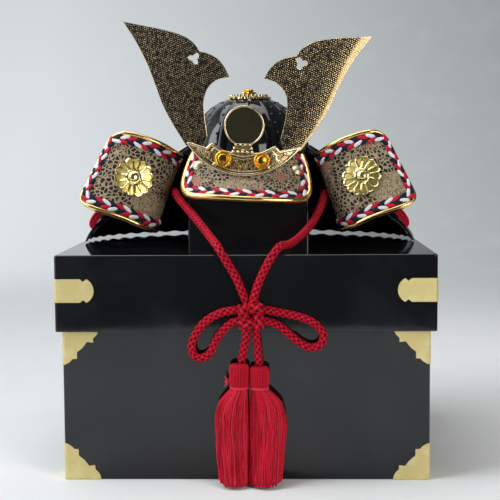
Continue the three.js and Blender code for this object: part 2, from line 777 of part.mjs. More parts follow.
function buildHolder() {
  const mirrored = HOLDER_STATIONS.slice(1).reverse().map((x) => -x);
  const stations = [...mirrored, ...HOLDER_STATIONS];
  const last = stations.length - 1;
  const surface = (x, z) => new THREE.Vector3(x, crestY(x), z);
  const grid = (u, v) => {
    const x = stations[Math.round(u * last)];
    return [x, lerp(holderTop(x), holderLow(x), v)];
  };
  crest.add(piece("crest_holder", wall(surface, grid, last, 2, CREST.thickness), FINISH.darkGold));
  const { across, height, radius } = HOLDER_ROSETTE;
  for (const { side, sign } of PAIR) {
    const rosette = piece(`crest_rosette_${side}`, petalRosette(HOLDER_ROSETTE), FINISH.gold);
    const slope = Math.atan(2 * CREST.bend * across * sign);
    const clear = CREST.thickness / 2 + GAP + CREST.bend * radius * radius;
    rosette.position.set(sign * across, crestY(across) - clear, height);
    rosette.rotation.set(Math.PI / 2, 0, slope, "ZXY");
    crest.add(rosette);
  }
}

function buildMirror() {
  const { height, radius, thickness, rim, ramp, recess, back } = MIRROR;
  const face = thickness - recess;
  const profile = [
    new THREE.Vector2(0, 0),
    new THREE.Vector2(radius, 0),
    new THREE.Vector2(radius, thickness),
    new THREE.Vector2(radius - rim, thickness),
    new THREE.Vector2(radius - rim - ramp, face),
    new THREE.Vector2(0, face),
  ];
  const disc = piece("mirror_disc", new THREE.LatheGeometry(profile, MIRROR_SIDES), FINISH.mirror);
  disc.position.set(0, CREST.front + back, height);
  disc.rotation.x = Math.PI;
  const foot = MIRROR_FOOT;
  const outline = roundedRectangle(foot.width, foot.height, foot.corner);
  const block = slab(outline, 0, foot.thickness).rotateX(Math.PI / 2);
  const base = piece("mirror_base", block, FINISH.darkGold);
  const discFront = disc.position.y - thickness;
  const seat = holderTop(foot.width / 2) + GAP;
  base.position.set(0, discFront - GAP, seat + foot.height / 2);
  crest.add(disc, base);
}

function hornOutline(stretch) {
  const sweep = Math.atan(2 * CREST.bend * HORN.pivot);
  const place = ({ out, up }) => {
    const share = Math.max(0, (out - HORN.pivot) / (HORN_TIP.out - HORN.pivot));
    const across = (out + stretch.out * share - HORN.pivot) / Math.cos(sweep);
    return new THREE.Vector2(across, up + stretch.up * share * share);
  };
  const tip = place(HORN_TIP);
  const shape = new THREE.Shape();
  shape.moveTo(tip.x, tip.y);
  shape.splineThru(HORN_TOP.map(place));
  shape.splineThru(HORN_LOBE.map(place));
  shape.splineThru(HORN_INNER.map(place));
  for (const spot of HORN_ROOT.map(place)) shape.lineTo(spot.x, spot.y);
  shape.splineThru([...HORN_OUTER.map(place), tip]);
  const { radius, lobes, swell, points } = HORN_EYE;
  const eye = place(HORN_EYE);
  const rimSpot = (_, index) => {
    const turn = (-index / points) * TAU;
    const reach = radius * (1 + swell * Math.cos(lobes * (turn - radians(HORN_EYE.turn))));
    return new THREE.Vector2(eye.x + reach * Math.cos(turn), eye.y + reach * Math.sin(turn));
  };
  shape.holes.push(new THREE.Path(Array.from({ length: points }, rimSpot)));
  return { shape, sweep };
}

function buildHorns() {
  const half = HORN.thickness / 2;
  for (const { side, sign } of PAIR) {
    const { shape, sweep } = hornOutline(HORN_STRETCH[side]);
    const upright = slab(shape, -half, half).rotateX(Math.PI / 2);
    const turned = sign < 0 ? upright.clone().rotateZ(Math.PI) : upright;
    const horn = piece(`horn_${side}`, turned, FINISH.darkGold);
    horn.position.set(sign * HORN.pivot, crestY(HORN.pivot) + HORN.behind, 0);
    horn.rotation.z = sign * sweep;
    crest.add(horn);
  }
}

// Flaps
function flapSurface(sign) {
  const curve = (rows) =>
    new THREE.CatmullRomCurve3(rows.map((row) => new THREE.Vector3(sign * row.out, row.y, row.z)));
  const [top, bottom] = [curve(FLAP_TOP), curve(FLAP_BOTTOM)];
  return (along, down) => {
    const share = THREE.MathUtils.clamp(along / FLAP.width, 0, 1);
    return top.getPointAt(share).lerp(bottom.getPointAt(share), down / FLAP.height);
  };
}

function flapOutline(inset) {
  const low = FLAP.height - inset;
  const corner = FLAP.corner - inset / 2;
  const end = FLAP.width - FLAP.innerMargin;
  const path = new THREE.Path();
  path.moveTo(end, inset);
  path.lineTo(inset + corner, inset);
  path.quadraticCurveTo(inset, inset, inset, inset + corner);
  path.lineTo(inset, low - corner);
  path.quadraticCurveTo(inset, low, inset + corner, low);
  path.lineTo(end, low);
  return path;
}

function buildFlap({ side, sign }) {
  const surface = flapSurface(sign);
  const inset = 2 * (RIM.radius + GAP);
  const tall = FLAP.height - 2 * inset;
  const lastRow = FLAP_ROWS.length - 1;
  const grid = (u, v) => {
    const down = tall * FLAP_ROWS[Math.round(v * lastRow)];
    const fromMiddle = Math.max(down, tall - down);
    const edge = FLAP.corner - roundedReach(FLAP.corner, tall, FLAP.corner, fromMiddle);
    return [lerp(inset + edge, FLAP.width - FLAP.innerMargin, u), inset + down];
  };
  const sheet = wall(surface, grid, FLAP.columns, lastRow, FLAP.thickness);
  const trim = panelTrim(surface, flapOutline, sign);
  helmet.add(piece(`flap_${side}`, sheet, FINISH.leather));
  helmet.add(piece(`flap_rim_${side}`, rimTube(trim), FINISH.gold));
  helmet.add(piece(`flap_braid_${side}`, braidBand(trim, FLAP.thickness), FINISH.braid));
  const rosette = piece(`flap_rosette_${side}`, petalRosette(FLAP_ROSETTE), FINISH.foil);
  const spot = new THREE.Vector2(FLAP_ROSETTE.along * FLAP.width, FLAP_ROSETTE.down * FLAP.height);
  helmet.add(seatOn(trim, rosette, spot, FLAP.thickness / 2 + GAP));
}

// Neck guard
function guardSurface(turn, share) {
  const flare = 1 - (1 - Math.min(share, 1)) ** GUARD.bulge;
  const across = lerp(GUARD.topRadius, GUARD.sideRadius, flare);
  const deep = lerp(GUARD.topRadius, GUARD.backRadius, flare);
  const z = lerp(GUARD.top, GUARD.bottom, share);
  return new THREE.Vector3(across * Math.sin(turn), deep * Math.cos(turn), z);
}

function guardNormal(turn, share) {
  const held = THREE.MathUtils.clamp(share, SLOPE_STEP, 1 - SLOPE_STEP);
  return facing(guardSurface, turn, held);
}

function buildGuard() {
  const { tiers, overlap: lap, waves, waveDepth, columnsPerWave } = GUARD;
  const outward = Math.sign(guardNormal(0, 1 / 2).y);
  const open = radians(GUARD.openAngle);
  for (let tier = 0; tier < tiers; tier += 1) {
    const first = tier === 0;
    const last = tier === tiers - 1;
    const start = first ? 0 : tier / tiers - lap;
    const tuck = first ? 0 : GUARD.tuck;
    const rise = (turn) => (waveDepth / 2) * (1 - Math.cos((turn / open) * Math.PI * waves));
    const surface = (turn, local) => {
      const end = (tier + 1) / tiers - (last ? rise(turn) : 0);
      const share = lerp(start, end, local);
      const inward = -tuck * (1 - local) * outward;
      return guardSurface(turn, share).addScaledVector(guardNormal(turn, share), inward);
    };
    const columns = last ? waves * columnsPerWave : GUARD.columns;
    const grid = (u, v) => [lerp(-open, open, u), v];
    const band = wall(surface, grid, columns, last ? 1 : 2, GUARD.thickness);
    helmet.add(piece(`neck_guard_tier_${tier + 1}`, band, FINISH.lacquer));
  }
}

// Cord
const routed = (rows, y) => rows.map((row) => new THREE.Vector3(row.x, row.y ?? y, row.z));

function buildKnot() {
  const { radius, spread, columns, rows } = KNOT_LOBE;
  const lobes = [];
  for (const across of [-spread, spread]) {
    for (const up of [-spread, spread]) {
      lobes.push(new THREE.SphereGeometry(radius, columns, rows).translate(across, 0, up));
    }
  }
  const knot = piece("cord_knot", join(...lobes), FINISH.cord);
  knot.position.set(KNOT.x, KNOT.y, KNOT.z);
  helmet.add(knot);
}

function buildCord() {
  const { radius, sides, chinSteps, loopSteps, tailSteps } = CORD;
  const routes = [
    { name: "chin_cord", points: routed(CHIN_CORD), steps: chinSteps },
    { name: "cord_loop_left", points: routed(LOOP_LEFT, LOOP_Y), steps: loopSteps },
    { name: "cord_loop_right", points: routed(LOOP_RIGHT, LOOP_Y), steps: loopSteps },
    { name: "cord_tail_left", points: routed(TAIL_LEFT, LOOP_Y), steps: tailSteps },
    { name: "cord_tail_right", points: routed(TAIL_RIGHT, LOOP_Y), steps: tailSteps },
  ];
  for (const { name, points, steps } of routes) {
    helmet.add(piece(name, tube(points, radius, steps, sides), FINISH.cord));
  }
}

// The skirt's middle and half sizes at one row of its fall
function skirtRow(row, { share, lean, swell, spread }) {
  const { waist, halfDepth, hem } = TASSEL;
  const neck = waist - LOCK.radius / 2;
  return {
    x: lerp(row.head, row.middle, lean),
    y: TASSEL.y - spread,
    z: lerp(row.tie + LOCK.radius / 2, hem, share),
    wide: lerp(neck, row.halfWidth - LOCK.radius, swell),
    thick: lerp(neck, halfDepth - LOCK.radius, swell) + spread,
  };
}

// A spot on the skirt's oval, moved out past the locks' centre lines
function skirtSpot(row, fall, turn, out) {
  const { x, y, z, wide, thick } = skirtRow(row, fall);
  const across = (wide + out) * Math.cos(turn);
  const forward = (thick + out) * Math.sin(turn);
  return new THREE.Vector3(x + across, y + forward, z);
}

function tasselLock(row, turn) {
  const points = SKIRT_FALL.map((fall) => skirtSpot(row, fall, turn, 0));
  return tube(points, LOCK.radius, LOCK.steps, LOCK.sides);
}

// The fill behind the locks, which leaves no hollow between them
function tasselCore(row) {
  const sides = LOCK.count;
  const points = [];
  for (const fall of SKIRT_FALL) {
    for (let side = 0; side < sides; side += 1) {
      points.push(skirtSpot(row, fall, (side / sides) * TAU, LOCK.fill));
    }
  }
  const triangles = [];
  const last = SKIRT_FALL.length - 1;
  for (let ring = 0; ring < last; ring += 1) {
    for (let side = 0; side < sides; side += 1) {
      const [a, b] = [ring * sides + side, ring * sides + ((side + 1) % sides)];
      triangles.push([a, b, b + sides], [a, b + sides, a + sides]);
    }
  }
  for (let side = 1; side < sides - 1; side += 1) {
    const foot = last * sides;
    triangles.push([0, side + 1, side], [foot, foot + side, foot + side + 1]);
  }
  return faceted(points, triangles);
}

function buildTassel(row) {
  const rings = TASSEL_HEAD.map(({ share, r }) => ({ r, z: lerp(row.top, row.tie, share) }));
  rings.push({ r: TASSEL.waist, z: row.tie - 2 * LOCK.radius });
  const head = lobedLathe(rings, TASSEL.headSides).translate(row.head, TASSEL.y, 0);
  const strands = [];
  for (let strand = 0; strand < LOCK.count; strand += 1) {
    const halfway = strand + 1 / 2;
    strands.push(tasselLock(row, (halfway / LOCK.count) * TAU));
  }
  helmet.add(piece(`tassel_${row.side}`, join(head, tasselCore(row), ...strands), FINISH.cord));
}

buildBase();
buildLid();
buildFoil();
buildStand();
buildBowl();
buildCrown();
buildVisor();
buildHolder();
buildMirror();
buildHorns();
PAIR.forEach(buildFlap);
buildGuard();
buildCord();
buildKnot();
TASSELS.forEach(buildTassel);

const kabuto = new THREE.Group();
kabuto.add(box, helmet);
export default kabuto;
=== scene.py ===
"""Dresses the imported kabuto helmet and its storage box, in the frame of the solids.

Sizes are in millimetres. The helmet's heights are measured from the lid's top, the box's from
the ground.
"""

import logging
import math
import random
from collections.abc import Callable, Iterable, Sequence
from dataclasses import dataclass, field
from enum import Enum
from functools import partialmethod

import bmesh
import bpy
import numpy as np
from mathutils import Matrix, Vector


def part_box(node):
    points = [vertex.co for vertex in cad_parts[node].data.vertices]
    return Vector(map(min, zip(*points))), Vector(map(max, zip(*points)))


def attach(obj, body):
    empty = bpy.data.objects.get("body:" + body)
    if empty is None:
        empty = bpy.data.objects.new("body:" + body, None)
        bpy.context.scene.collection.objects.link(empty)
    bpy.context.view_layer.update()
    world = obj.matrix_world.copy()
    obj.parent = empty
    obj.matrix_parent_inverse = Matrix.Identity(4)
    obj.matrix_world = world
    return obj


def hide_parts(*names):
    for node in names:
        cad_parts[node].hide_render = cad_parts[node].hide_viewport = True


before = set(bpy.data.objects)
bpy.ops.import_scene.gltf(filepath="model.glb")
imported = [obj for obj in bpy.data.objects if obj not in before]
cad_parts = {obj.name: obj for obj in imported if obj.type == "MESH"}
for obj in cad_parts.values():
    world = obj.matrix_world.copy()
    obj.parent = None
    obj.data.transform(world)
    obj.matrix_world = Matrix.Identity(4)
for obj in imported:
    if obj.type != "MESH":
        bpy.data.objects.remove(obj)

LOG = logging.getLogger("kabuto")
MM = 0.001
TAU = 2 * math.pi
BODY = "root"
LID_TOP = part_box("box_lid")[1][2] / MM
WELD = 1e-6
SLOPE_STEP = 1e-3
SUPPORT = 0.35
CORNER_STEPS = 6
SHARP_CORNER = 0.05
CURVE_STEPS = 10
ROW_CROWDING = 1.6
GOLDEN_TURN = 2.399963

Points = np.ndarray
Colour = tuple[float, float, float, float]
Mover = Callable[[Points], Points]
Rows2 = tuple[tuple[float, float], ...]
Rows3 = tuple[tuple[float, float, float], ...]


class Side(Enum):
    """The two sides of the helmet, as seen from the front."""

    LEFT = -1
    RIGHT = 1

    @property
    def word(self) -> str:
        """The side's name as the nodes spell it."""
        return self.name.lower()


class Slot(Enum):
    """The material slots."""

    BOX = "box_lacquer"
    STAND = "stand_lacquer"
    HELMET = "helmet_lacquer"
    FOIL = "foil"
    GOLD = "gold"
    DARK_GOLD = "dark_gold"
    MIRROR = "mirror_metal"
    LEATHER = "leather"
    BRAID = "braid"
    CORD = "cord"


def rgb(red: float, green: float, blue: float) -> Colour:
    """An opaque colour in linear light."""
    return (red, green, blue, 1.0)


class Wire:
    """One socket of a node, so that shader maths reads as Python."""

    def __init__(self, paint: "Paint", socket: bpy.types.NodeSocket | None) -> None:
        """Keeps the paint that the socket belongs to."""
        self.paint = paint
        self.socket = socket

    def math(self, operation: str, *others: "Wire | float", first: bool = True) -> "Wire":
        """A Math node's value, with this wire as its first operand or its last."""
        operands = [self, *others] if first else [*others, self]
        return self.paint.node("ShaderNodeMath", {"operation": operation}, dict(enumerate(operands)))

    __add__ = partialmethod(math, "ADD")
    __radd__ = partialmethod(math, "ADD", first=False)
    __sub__ = partialmethod(math, "SUBTRACT")
    __rsub__ = partialmethod(math, "SUBTRACT", first=False)
    __mul__ = partialmethod(math, "MULTIPLY")
    __rmul__ = partialmethod(math, "MULTIPLY", first=False)
    __truediv__ = partialmethod(math, "DIVIDE")
    __rtruediv__ = partialmethod(math, "DIVIDE", first=False)
    __abs__ = partialmethod(math, "ABSOLUTE")
    fract = partialmethod(math, "FRACT")
    floor = partialmethod(math, "FLOOR")
    sine = partialmethod(math, "SINE")
    cosine = partialmethod(math, "COSINE")
    root = partialmethod(math, "SQRT")
    least = partialmethod(math, "MINIMUM")
    most = partialmethod(math, "MAXIMUM")

    def between(self, low: float, high: float) -> "Wire":
        """A smooth step from 0 at low to 1 at high, or down where low is the larger."""
        ends = {"Value": self, "From Min": low, "From Max": high}
        settings = {"interpolation_type": "SMOOTHSTEP"}
        if low > high:
            ends = {"Value": self, "From Min": high, "From Max": low, "To Min": 1.0, "To Max": 0.0}
        return self.paint.node("ShaderNodeMapRange", settings, ends)


class Paint:
    """A node tree and the one method that adds its nodes."""

    def __init__(self, tree: bpy.types.NodeTree) -> None:
        """Starts from an empty tree."""
        self.tree = tree
        tree.nodes.clear()

    def node(
        self,
        kind: str,
        settings: dict[str, object] | None = None,
        inputs: dict[str | int, object] | None = None,
        output: int | str = 0,
    ) -> Wire:
        """Adds one node.

        Args:
            kind: the node's type.
            settings: what is set first, such as an operation.
            inputs: values or wires by socket name or number.
            output: the socket that is wanted.

        Returns:
            That socket.
        """
        made = self.tree.nodes.new(kind)
        for key, value in (settings or {}).items():
            setattr(made, key, value)
        for key, value in (inputs or {}).items():
            if isinstance(value, Wire):
                self.tree.links.new(value.socket, made.inputs[key])
            else:
                made.inputs[key].default_value = value
        return Wire(self, made.outputs[output] if made.outputs else None)

    def place(self) -> Wire:
        """The spot on the piece, in millimetres."""
        spot = self.node("ShaderNodeTexCoord", output="Object")
        settings = {"operation": "SCALE"}
        return self.node("ShaderNodeVectorMath", settings, {0: spot, "Scale": 1 / MM})

    def chart(self) -> Wire:
        """The spot on a panel laid flat, in millimetres."""
        settings = {"attribute_type": "GEOMETRY", "attribute_name": "chart"}
        return self.node("ShaderNodeAttribute", settings, output="Vector")

    def parts(self, vector: Wire) -> tuple[Wire, Wire, Wire]:
        """A vector's three numbers."""
        split = self.node("ShaderNodeSeparateXYZ", inputs={0: vector})
        return tuple(Wire(self, socket) for socket in split.socket.node.outputs)

    def joined(self, x: Wire | float, y: Wire | float, z: Wire | float = 0.0) -> Wire:
        """A vector from three numbers."""
        return self.node("ShaderNodeCombineXYZ", inputs={0: x, 1: y, 2: z})

    def mix(
        self, low: Wire | Colour, high: Wire | Colour, share: Wire | float, blend: str = "MIX"
    ) -> Wire:
        """The colour a share of the way from low to high, or their blend at that share."""
        settings = {"data_type": "RGBA", "blend_type": blend}
        return self.node("ShaderNodeMix", settings, {0: share, 6: low, 7: high}, output=2)

    def noise(self, grain: float, detail: float = 2.0, spot: Wire | None = None) -> Wire:
        """Soft noise from 0 to 1, with a grain in millimetres."""
        inputs = {"Vector": spot or self.place(), "Scale": 1 / grain, "Detail": detail}
        return self.node("ShaderNodeTexNoise", inputs=inputs)

    def cells(self, grain: float, spot: Wire | None = None, feature: str = "F1") -> Wire:
        """Distance inside cells of a size in millimetres."""
        inputs = {"Vector": spot or self.place(), "Scale": 1 / grain}
        return self.node("ShaderNodeTexVoronoi", {"feature": feature}, inputs)

    def bump(self, height: Wire, depth: float) -> Wire:
        """A bumped normal, with the depth in millimetres."""
        return self.node("ShaderNodeBump", inputs={"Height": height, "Distance": depth * MM})

    def surface(self, tone: Wire, roughness: Wire, normal: Wire, **others: Wire | float) -> None:
        """Ends the tree in a principled surface.

        Args:
            tone: its base colour.
            roughness: its roughness.
            normal: its bumped normal.
            others: other inputs, by the sockets' names with underscores.
        """
        inputs = {"Base Color": tone, "Roughness": roughness, "Normal": normal}
        inputs |= {name.replace("_", " "): value for name, value in others.items()}
        shader = self.node("ShaderNodeBsdfPrincipled", inputs=inputs)
        self.node("ShaderNodeOutputMaterial", inputs={"Surface": shader})


@dataclass(frozen=True)
class Finish:
    """A surface finish, made into a material once."""

    name: str

    def material(self) -> bpy.types.Material:
        """The material with this finish's name.

        Returns:
            The material, painted on its first use.
        """
        found = bpy.data.materials.get(self.name)
        if found is None:
            found = bpy.data.materials.new(self.name)
            found.use_nodes = True
            self.coat(Paint(found.node_tree))
        return found

    def coat(self, paint: Paint) -> None:
        """Paints the finish's nodes."""
        raise NotImplementedError


@dataclass(frozen=True)
class Lacquer(Finish):
    """Deep gloss lacquer: a soft waviness, fine dust and a worn sheen."""

    colour: Colour = rgb(0.0045, 0.005, 0.0065)
    bloom: Colour = rgb(0.012, 0.013, 0.016)
    dust: Colour = rgb(0.05, 0.05, 0.055)
    roughness: float = 0.05
    wave: float = 0.012
    ior: float = 1.56

    def coat(self, paint: Paint) -> None:
        """Paints dark lacquer that mirrors softly."""
        cloud = paint.noise(45.0, 3.0)
        dust = paint.cells(7.0).between(0.05, 0.02)
        tone = paint.mix(self.colour, self.bloom, cloud.between(0.4, 0.75))
        tone = paint.mix(tone, self.dust, dust * 0.5)
        gloss = self.roughness + paint.noise(18.0, 4.0).between(0.45, 0.8) * 0.05 + dust * 0.3
        ripple = paint.noise(9.0, 1.0)
        paint.surface(tone, gloss, paint.bump(ripple, self.wave), IOR=self.ior)


@dataclass(frozen=True)
class Foil(Finish):
    """Thin pressed gold foil with a sanded sparkle."""

    light: Colour = rgb(0.83, 0.71, 0.33)
    dark: Colour = rgb(0.62, 0.48, 0.15)
    glint: Colour = rgb(0.95, 0.88, 0.55)
    sand: float = 0.12

    def coat(self, paint: Paint) -> None:
        """Paints speckled pale gold."""
        fleck = paint.noise(0.55, 2.0)
        drift = paint.noise(9.0, 2.0)
        tone = paint.mix(self.dark, self.light, fleck.between(0.32, 0.58))
        tone = paint.mix(tone, self.glint, drift.between(0.45, 0.8) * 0.4)
        roughness = 0.52 - fleck.between(0.5, 0.75) * 0.22
        paint.surface(tone, roughness, paint.bump(fleck, self.sand), Metallic=0.25 + fleck * 0.2)


@dataclass(frozen=True)
class GoldPlate(Finish):
    """Polished plate, a little duller and darker in random patches."""

    colour: Colour = rgb(0.92, 0.6, 0.2)
    tarnish: Colour = rgb(0.55, 0.31, 0.08)
    roughness: float = 0.16
    grain: float = 2.5
    dents: float = 0.015

    def coat(self, paint: Paint) -> None:
        """Paints warm polished metal."""
        stain = paint.noise(self.grain, 4.0)
        tone = paint.mix(self.colour, self.tarnish, stain.between(0.52, 0.8) * 0.6)
        roughness = self.roughness + stain.between(0.4, 0.8) * 0.14
        paint.surface(tone, roughness, paint.bump(paint.noise(0.8, 2.0), self.dents), Metallic=1.0)


@dataclass(frozen=True)
class Stippled(Finish):
    """Dark metal struck all over with fine slanting dashes that carry painted glints, and a painted
    highlight along the right horn's outer edge.
    """

    # high is the dashes' bright tone, a painted glint; band and its bow set the line of the right horn's
    # outer edge, where a painted highlight lies.
    high: Colour = rgb(0.62, 0.49, 0.29)
    low: Colour = rgb(0.011, 0.008, 0.005)
    polish: Colour = rgb(0.95, 0.72, 0.38)
    band: tuple[float, float, float] = (0.869, -0.4956, 78.8)
    band_bow: tuple[float, float, float] = (1.8, 236.2, 88.3)
    dash: tuple[float, float] = (1.85, 1.4)
    slant: float = math.radians(24)
    depth: float = 0.18

    def coat(self, paint: Paint) -> None:
        """Paints rows of short flecks over brown metal, bright with painted glints, and a painted highlight
        along the right horn's outer edge.
        """
        x, _, z = paint.parts(paint.place())
        cos, sin = math.cos(self.slant), math.sin(self.slant)
        shake = paint.noise(3.0, 2.0) - 0.5
        run = (abs(x) * cos + z * sin) / self.dash[0] + shake * 1.6
        rise = (z * cos - abs(x) * sin) / self.dash[1] + shake * 0.8
        across = run + rise.floor() * 0.5
        off, up = across.fract() - 0.5, rise.fract() - 0.5
        struck = (off * off / 0.13 + up * up / 0.085).between(1.2, 0.35)
        worn = paint.noise(2.2, 3.0)
        bow = ((z - self.band_bow[1]) * (TAU / self.band_bow[2])).sine() * self.band_bow[0]
        edge = x * self.band[0] + z * self.band[1] + self.band[2] - bow
        # The struck dashes are real relief; their bright tone is a painted glint, spread at random by the
        # noise.
        tone = paint.mix(self.low, self.high, struck * worn.between(0.3, 0.72))
        # Painted highlight along the right horn's outer edge: a broad band of brighter dashes, then a
        # bright strip close to the edge.
        tone = paint.mix(tone, self.polish, edge.between(-15.0, -3.0) * struck * 0.85)
        tone = paint.mix(tone, self.polish, edge.between(-4.6, -2.2) * 0.9)
        paint.surface(tone, 0.5 - struck * 0.14, paint.bump(struck, self.depth), Metallic=0.85)


@dataclass(frozen=True)
class Bronze(Finish):
    """A dark polished face, clouded with age."""

    colour: Colour = rgb(0.16, 0.14, 0.08)
    cloud: Colour = rgb(0.1, 0.09, 0.055)
    depth: float = 0.01

    def coat(self, paint: Paint) -> None:
        """Paints clouded bronze with faint polishing scratches."""
        x, _, z = paint.parts(paint.place())
        haze = paint.noise(8.0, 4.0)
        scratch = paint.noise(1.0, 3.0, paint.joined(x * 0.15, z * 2.5))
        tone = paint.mix(self.colour, self.cloud, haze)
        roughness = 0.2 + haze * 0.15 + scratch * 0.06
        paint.surface(tone, roughness, paint.bump(scratch, self.depth), Metallic=1.0)


@dataclass(frozen=True)
class PrintedLeather(Finish):
    """Tan leather printed with dark leaves round small flowers, and patches of dots."""

    flowers: Rows2 = ()
    patch: tuple[float, float] = (0.0, 0.0)
    patch_reach: tuple[float, float] = (16.0, 10.0)
    tan: Colour = rgb(0.36, 0.275, 0.17)
    pale: Colour = rgb(0.47, 0.365, 0.235)
    ink: Colour = rgb(0.012, 0.01, 0.009)
    red: Colour = rgb(0.36, 0.035, 0.03)
    leaf: float = 3.1
    pull: float = 11.0
    flower_reach: float = 4.2
    flower_petals: float = 8.0
    depth: float = 0.12
    sheen: float = 0.32

    def coat(self, paint: Paint) -> None:
        """Paints the printed leather."""
        x, y, _ = paint.parts(paint.chart())
        leaf, flower = self._leaves(paint, x, y)
        away = self._patch(paint, x, y)
        dots = paint.cells(1.3, paint.joined(x, y)).between(0.46, 0.3)
        grain = paint.cells(0.7, paint.joined(x, y))
        print_ink = leaf * (1 - away) + dots * away * 0.75
        worn = paint.noise(3.0, 4.0)
        hide = paint.mix(self.tan, self.pale, worn.between(0.35, 0.7))
        tone = paint.mix(hide, self.ink, print_ink * (0.85 + worn * 0.3).least(1.0))
        tone = paint.mix(tone, self.red, flower * 0.85)
        relief = grain * 0.35 - print_ink * 0.6
        normal = paint.bump(relief, self.depth)
        paint.surface(tone, 0.62 + worn * 0.2, normal, Specular_IOR_Level=self.sheen)

    def _leaves(self, paint: Paint, x: Wire, y: Wire) -> tuple[Wire, Wire]:
        """Leaves drawn out away from each flower, with pale veins between them.

        Args:
            paint: the node tree.
            x: along the panel.
            y: down the panel.

        Returns:
            The leaves' mask and the flowers' mask.
        """
        nearest: Wire | None = None
        turn: Wire | None = None
        for flower_x, flower_y in self.flowers:
            dx, dy = x - flower_x, y - flower_y
            away = (dx * dx + dy * dy).root()
            angle = dy.math("ARCTAN2", dx)
            if nearest is None:
                nearest, turn = away, angle
                continue
            closer = away.math("LESS_THAN", nearest)
            turn = turn + (angle - turn) * closer
            nearest = nearest.least(away)
        vein = paint.cells(self.leaf, paint.joined(x, y, turn * self.pull), "DISTANCE_TO_EDGE")
        width = paint.noise(4.0, 2.0, paint.joined(x, y)) * 0.15 + 0.015
        leaf = (vein - width).between(0.0, 0.06) * nearest.between(3.4, 4.6)
        petals = (turn * self.flower_petals).cosine() * 0.5 + 0.5
        core = nearest.between(self.flower_reach, self.flower_reach - 1.0)
        flower = core * petals.between(0.15, 0.55)
        return leaf, flower

    def _patch(self, paint: Paint, x: Wire, y: Wire) -> Wire:
        """How far inside the dotted patch a spot lies."""
        dx = (x - self.patch[0]) / self.patch_reach[0]
        dy = (y - self.patch[1]) / self.patch_reach[1]
        return (dx * dx + dy * dy + (paint.noise(5.0) - 0.5) * 0.5).between(1.1, 0.85)


@dataclass(frozen=True)
class Silk(Finish):
    """Spun silk: threads along the chart's first number, with painted shade that deepens as its third
    number grows and a painted sheen where they lie on top.
    """

    colour: Colour = rgb(0.84, 0.006, 0.036)
    # deep is the colour of the painted shade, the next colour that of the painted sheen.
    deep: Colour = rgb(0.11, 0.0005, 0.004)
    shine: Colour = rgb(0.97, 0.08, 0.14)
    thread: float = 0.42
    depth: float = 0.06
    sheen: float = 0.16

    def coat(self, paint: Paint) -> None:
        """Paints twisted threads, with painted shade where they dive under one another and in the grooves
        between threads, and a painted sheen on their exposed tops.
        """
        along, across, depth = paint.parts(paint.chart())
        twist = (across * TAU / self.thread + along * 2.2).sine() * 0.5 + 0.5
        fuzz = paint.noise(0.7, 3.0)
        # Painted sheen: lighter patches on the threads, fading out where they lie in painted shade.
        tone = paint.mix(self.colour, self.shine, fuzz.between(0.48, 0.75) * (1 - depth) * 0.5)
        # Painted shade: in the grooves between threads, and as deep as the chart's third number, where a
        # thread dives under others and on its underside.
        tone = paint.mix(tone, self.deep, (twist.between(0.6, 0.05) * 0.3 + depth).least(1.0))
        normal = paint.bump(twist + fuzz * 0.5, self.depth)
        paint.surface(tone, 0.42 + fuzz * 0.25, normal, Specular_IOR_Level=self.sheen)


BOX_LACQUER = Lacquer("box_lacquer_black")
STAND_LACQUER = Lacquer("stand_lacquer_black", rgb(0.004, 0.0045, 0.0055), roughness=0.16)
HELMET_LACQUER = Lacquer("helmet_lacquer_black", roughness=0.07, wave=0.008)
RED_LACQUER = Lacquer(
    "inside_lacquer_red", rgb(0.045, 0.003, 0.004), rgb(0.07, 0.006, 0.006), roughness=0.2
)
CORNER_FOIL = Foil("corner_foil")
ROSETTE_GOLD = GoldPlate("rosette_gold", rgb(0.95, 0.83, 0.4), rgb(0.5, 0.38, 0.1))
# The rosettes' recessed plate is darker gold: painted shade in the recess.
SHADED_RECESS_GOLD = GoldPlate("recess_gold", rgb(0.62, 0.5, 0.17), rgb(0.25, 0.19, 0.05), 0.3)
RIM_GOLD = GoldPlate("rim_gold", rgb(0.96, 0.62, 0.24), roughness=0.14)
ORANGE_GOLD = GoldPlate("orange_gold", rgb(0.92, 0.5, 0.06), rgb(0.5, 0.2, 0.02))
PALE_GOLD = GoldPlate("pale_gold", rgb(0.88, 0.72, 0.44), rgb(0.4, 0.3, 0.14))
STUD_GOLD = GoldPlate("stud_gold", rgb(0.86, 0.74, 0.5), rgb(0.6, 0.5, 0.32), 0.42)
OLD_GOLD = GoldPlate("old_gold", rgb(0.42, 0.32, 0.15), rgb(0.1, 0.075, 0.03), grain=1.2)
HORN_METAL = Stippled("horn_metal")
MIRROR_BRONZE = Bronze("mirror_bronze")
CORD_SILK = Silk("cord_silk")
# The dark core of the cords and tassels is painted shade, showing in the gaps between strands and threads.
CORD_SHADE_CORE = Silk("cord_heart", rgb(0.2, 0.003, 0.01), rgb(0.08, 0.001, 0.004), rgb(0.3, 0.01, 0.02))
CORD_SILKS = (CORD_SILK, CORD_SHADE_CORE)
TASSEL_SILK = Silk("tassel_silk")
TASSEL_LIGHT = Silk("tassel_silk_light", rgb(0.9, 0.05, 0.1))
TASSEL_DARK = Silk("tassel_silk_dark", rgb(0.45, 0.006, 0.02))
TASSEL_SILKS = (TASSEL_SILK, CORD_SHADE_CORE, TASSEL_LIGHT, TASSEL_DARK)
RED_SILK = Silk("braid_silk_red", rgb(0.66, 0.012, 0.04), rgb(0.3, 0.004, 0.012))
WHITE_SILK = Silk("braid_silk_white", rgb(0.95, 0.95, 0.98), rgb(0.62, 0.64, 0.72), rgb(1, 1, 1))
NAVY_SILK = Silk(
    "braid_silk_navy", rgb(0.012, 0.016, 0.04), rgb(0.004, 0.005, 0.014), rgb(0.05, 0.06, 0.12)
)
BRAID_SILKS = (RED_SILK, WHITE_SILK, NAVY_SILK)


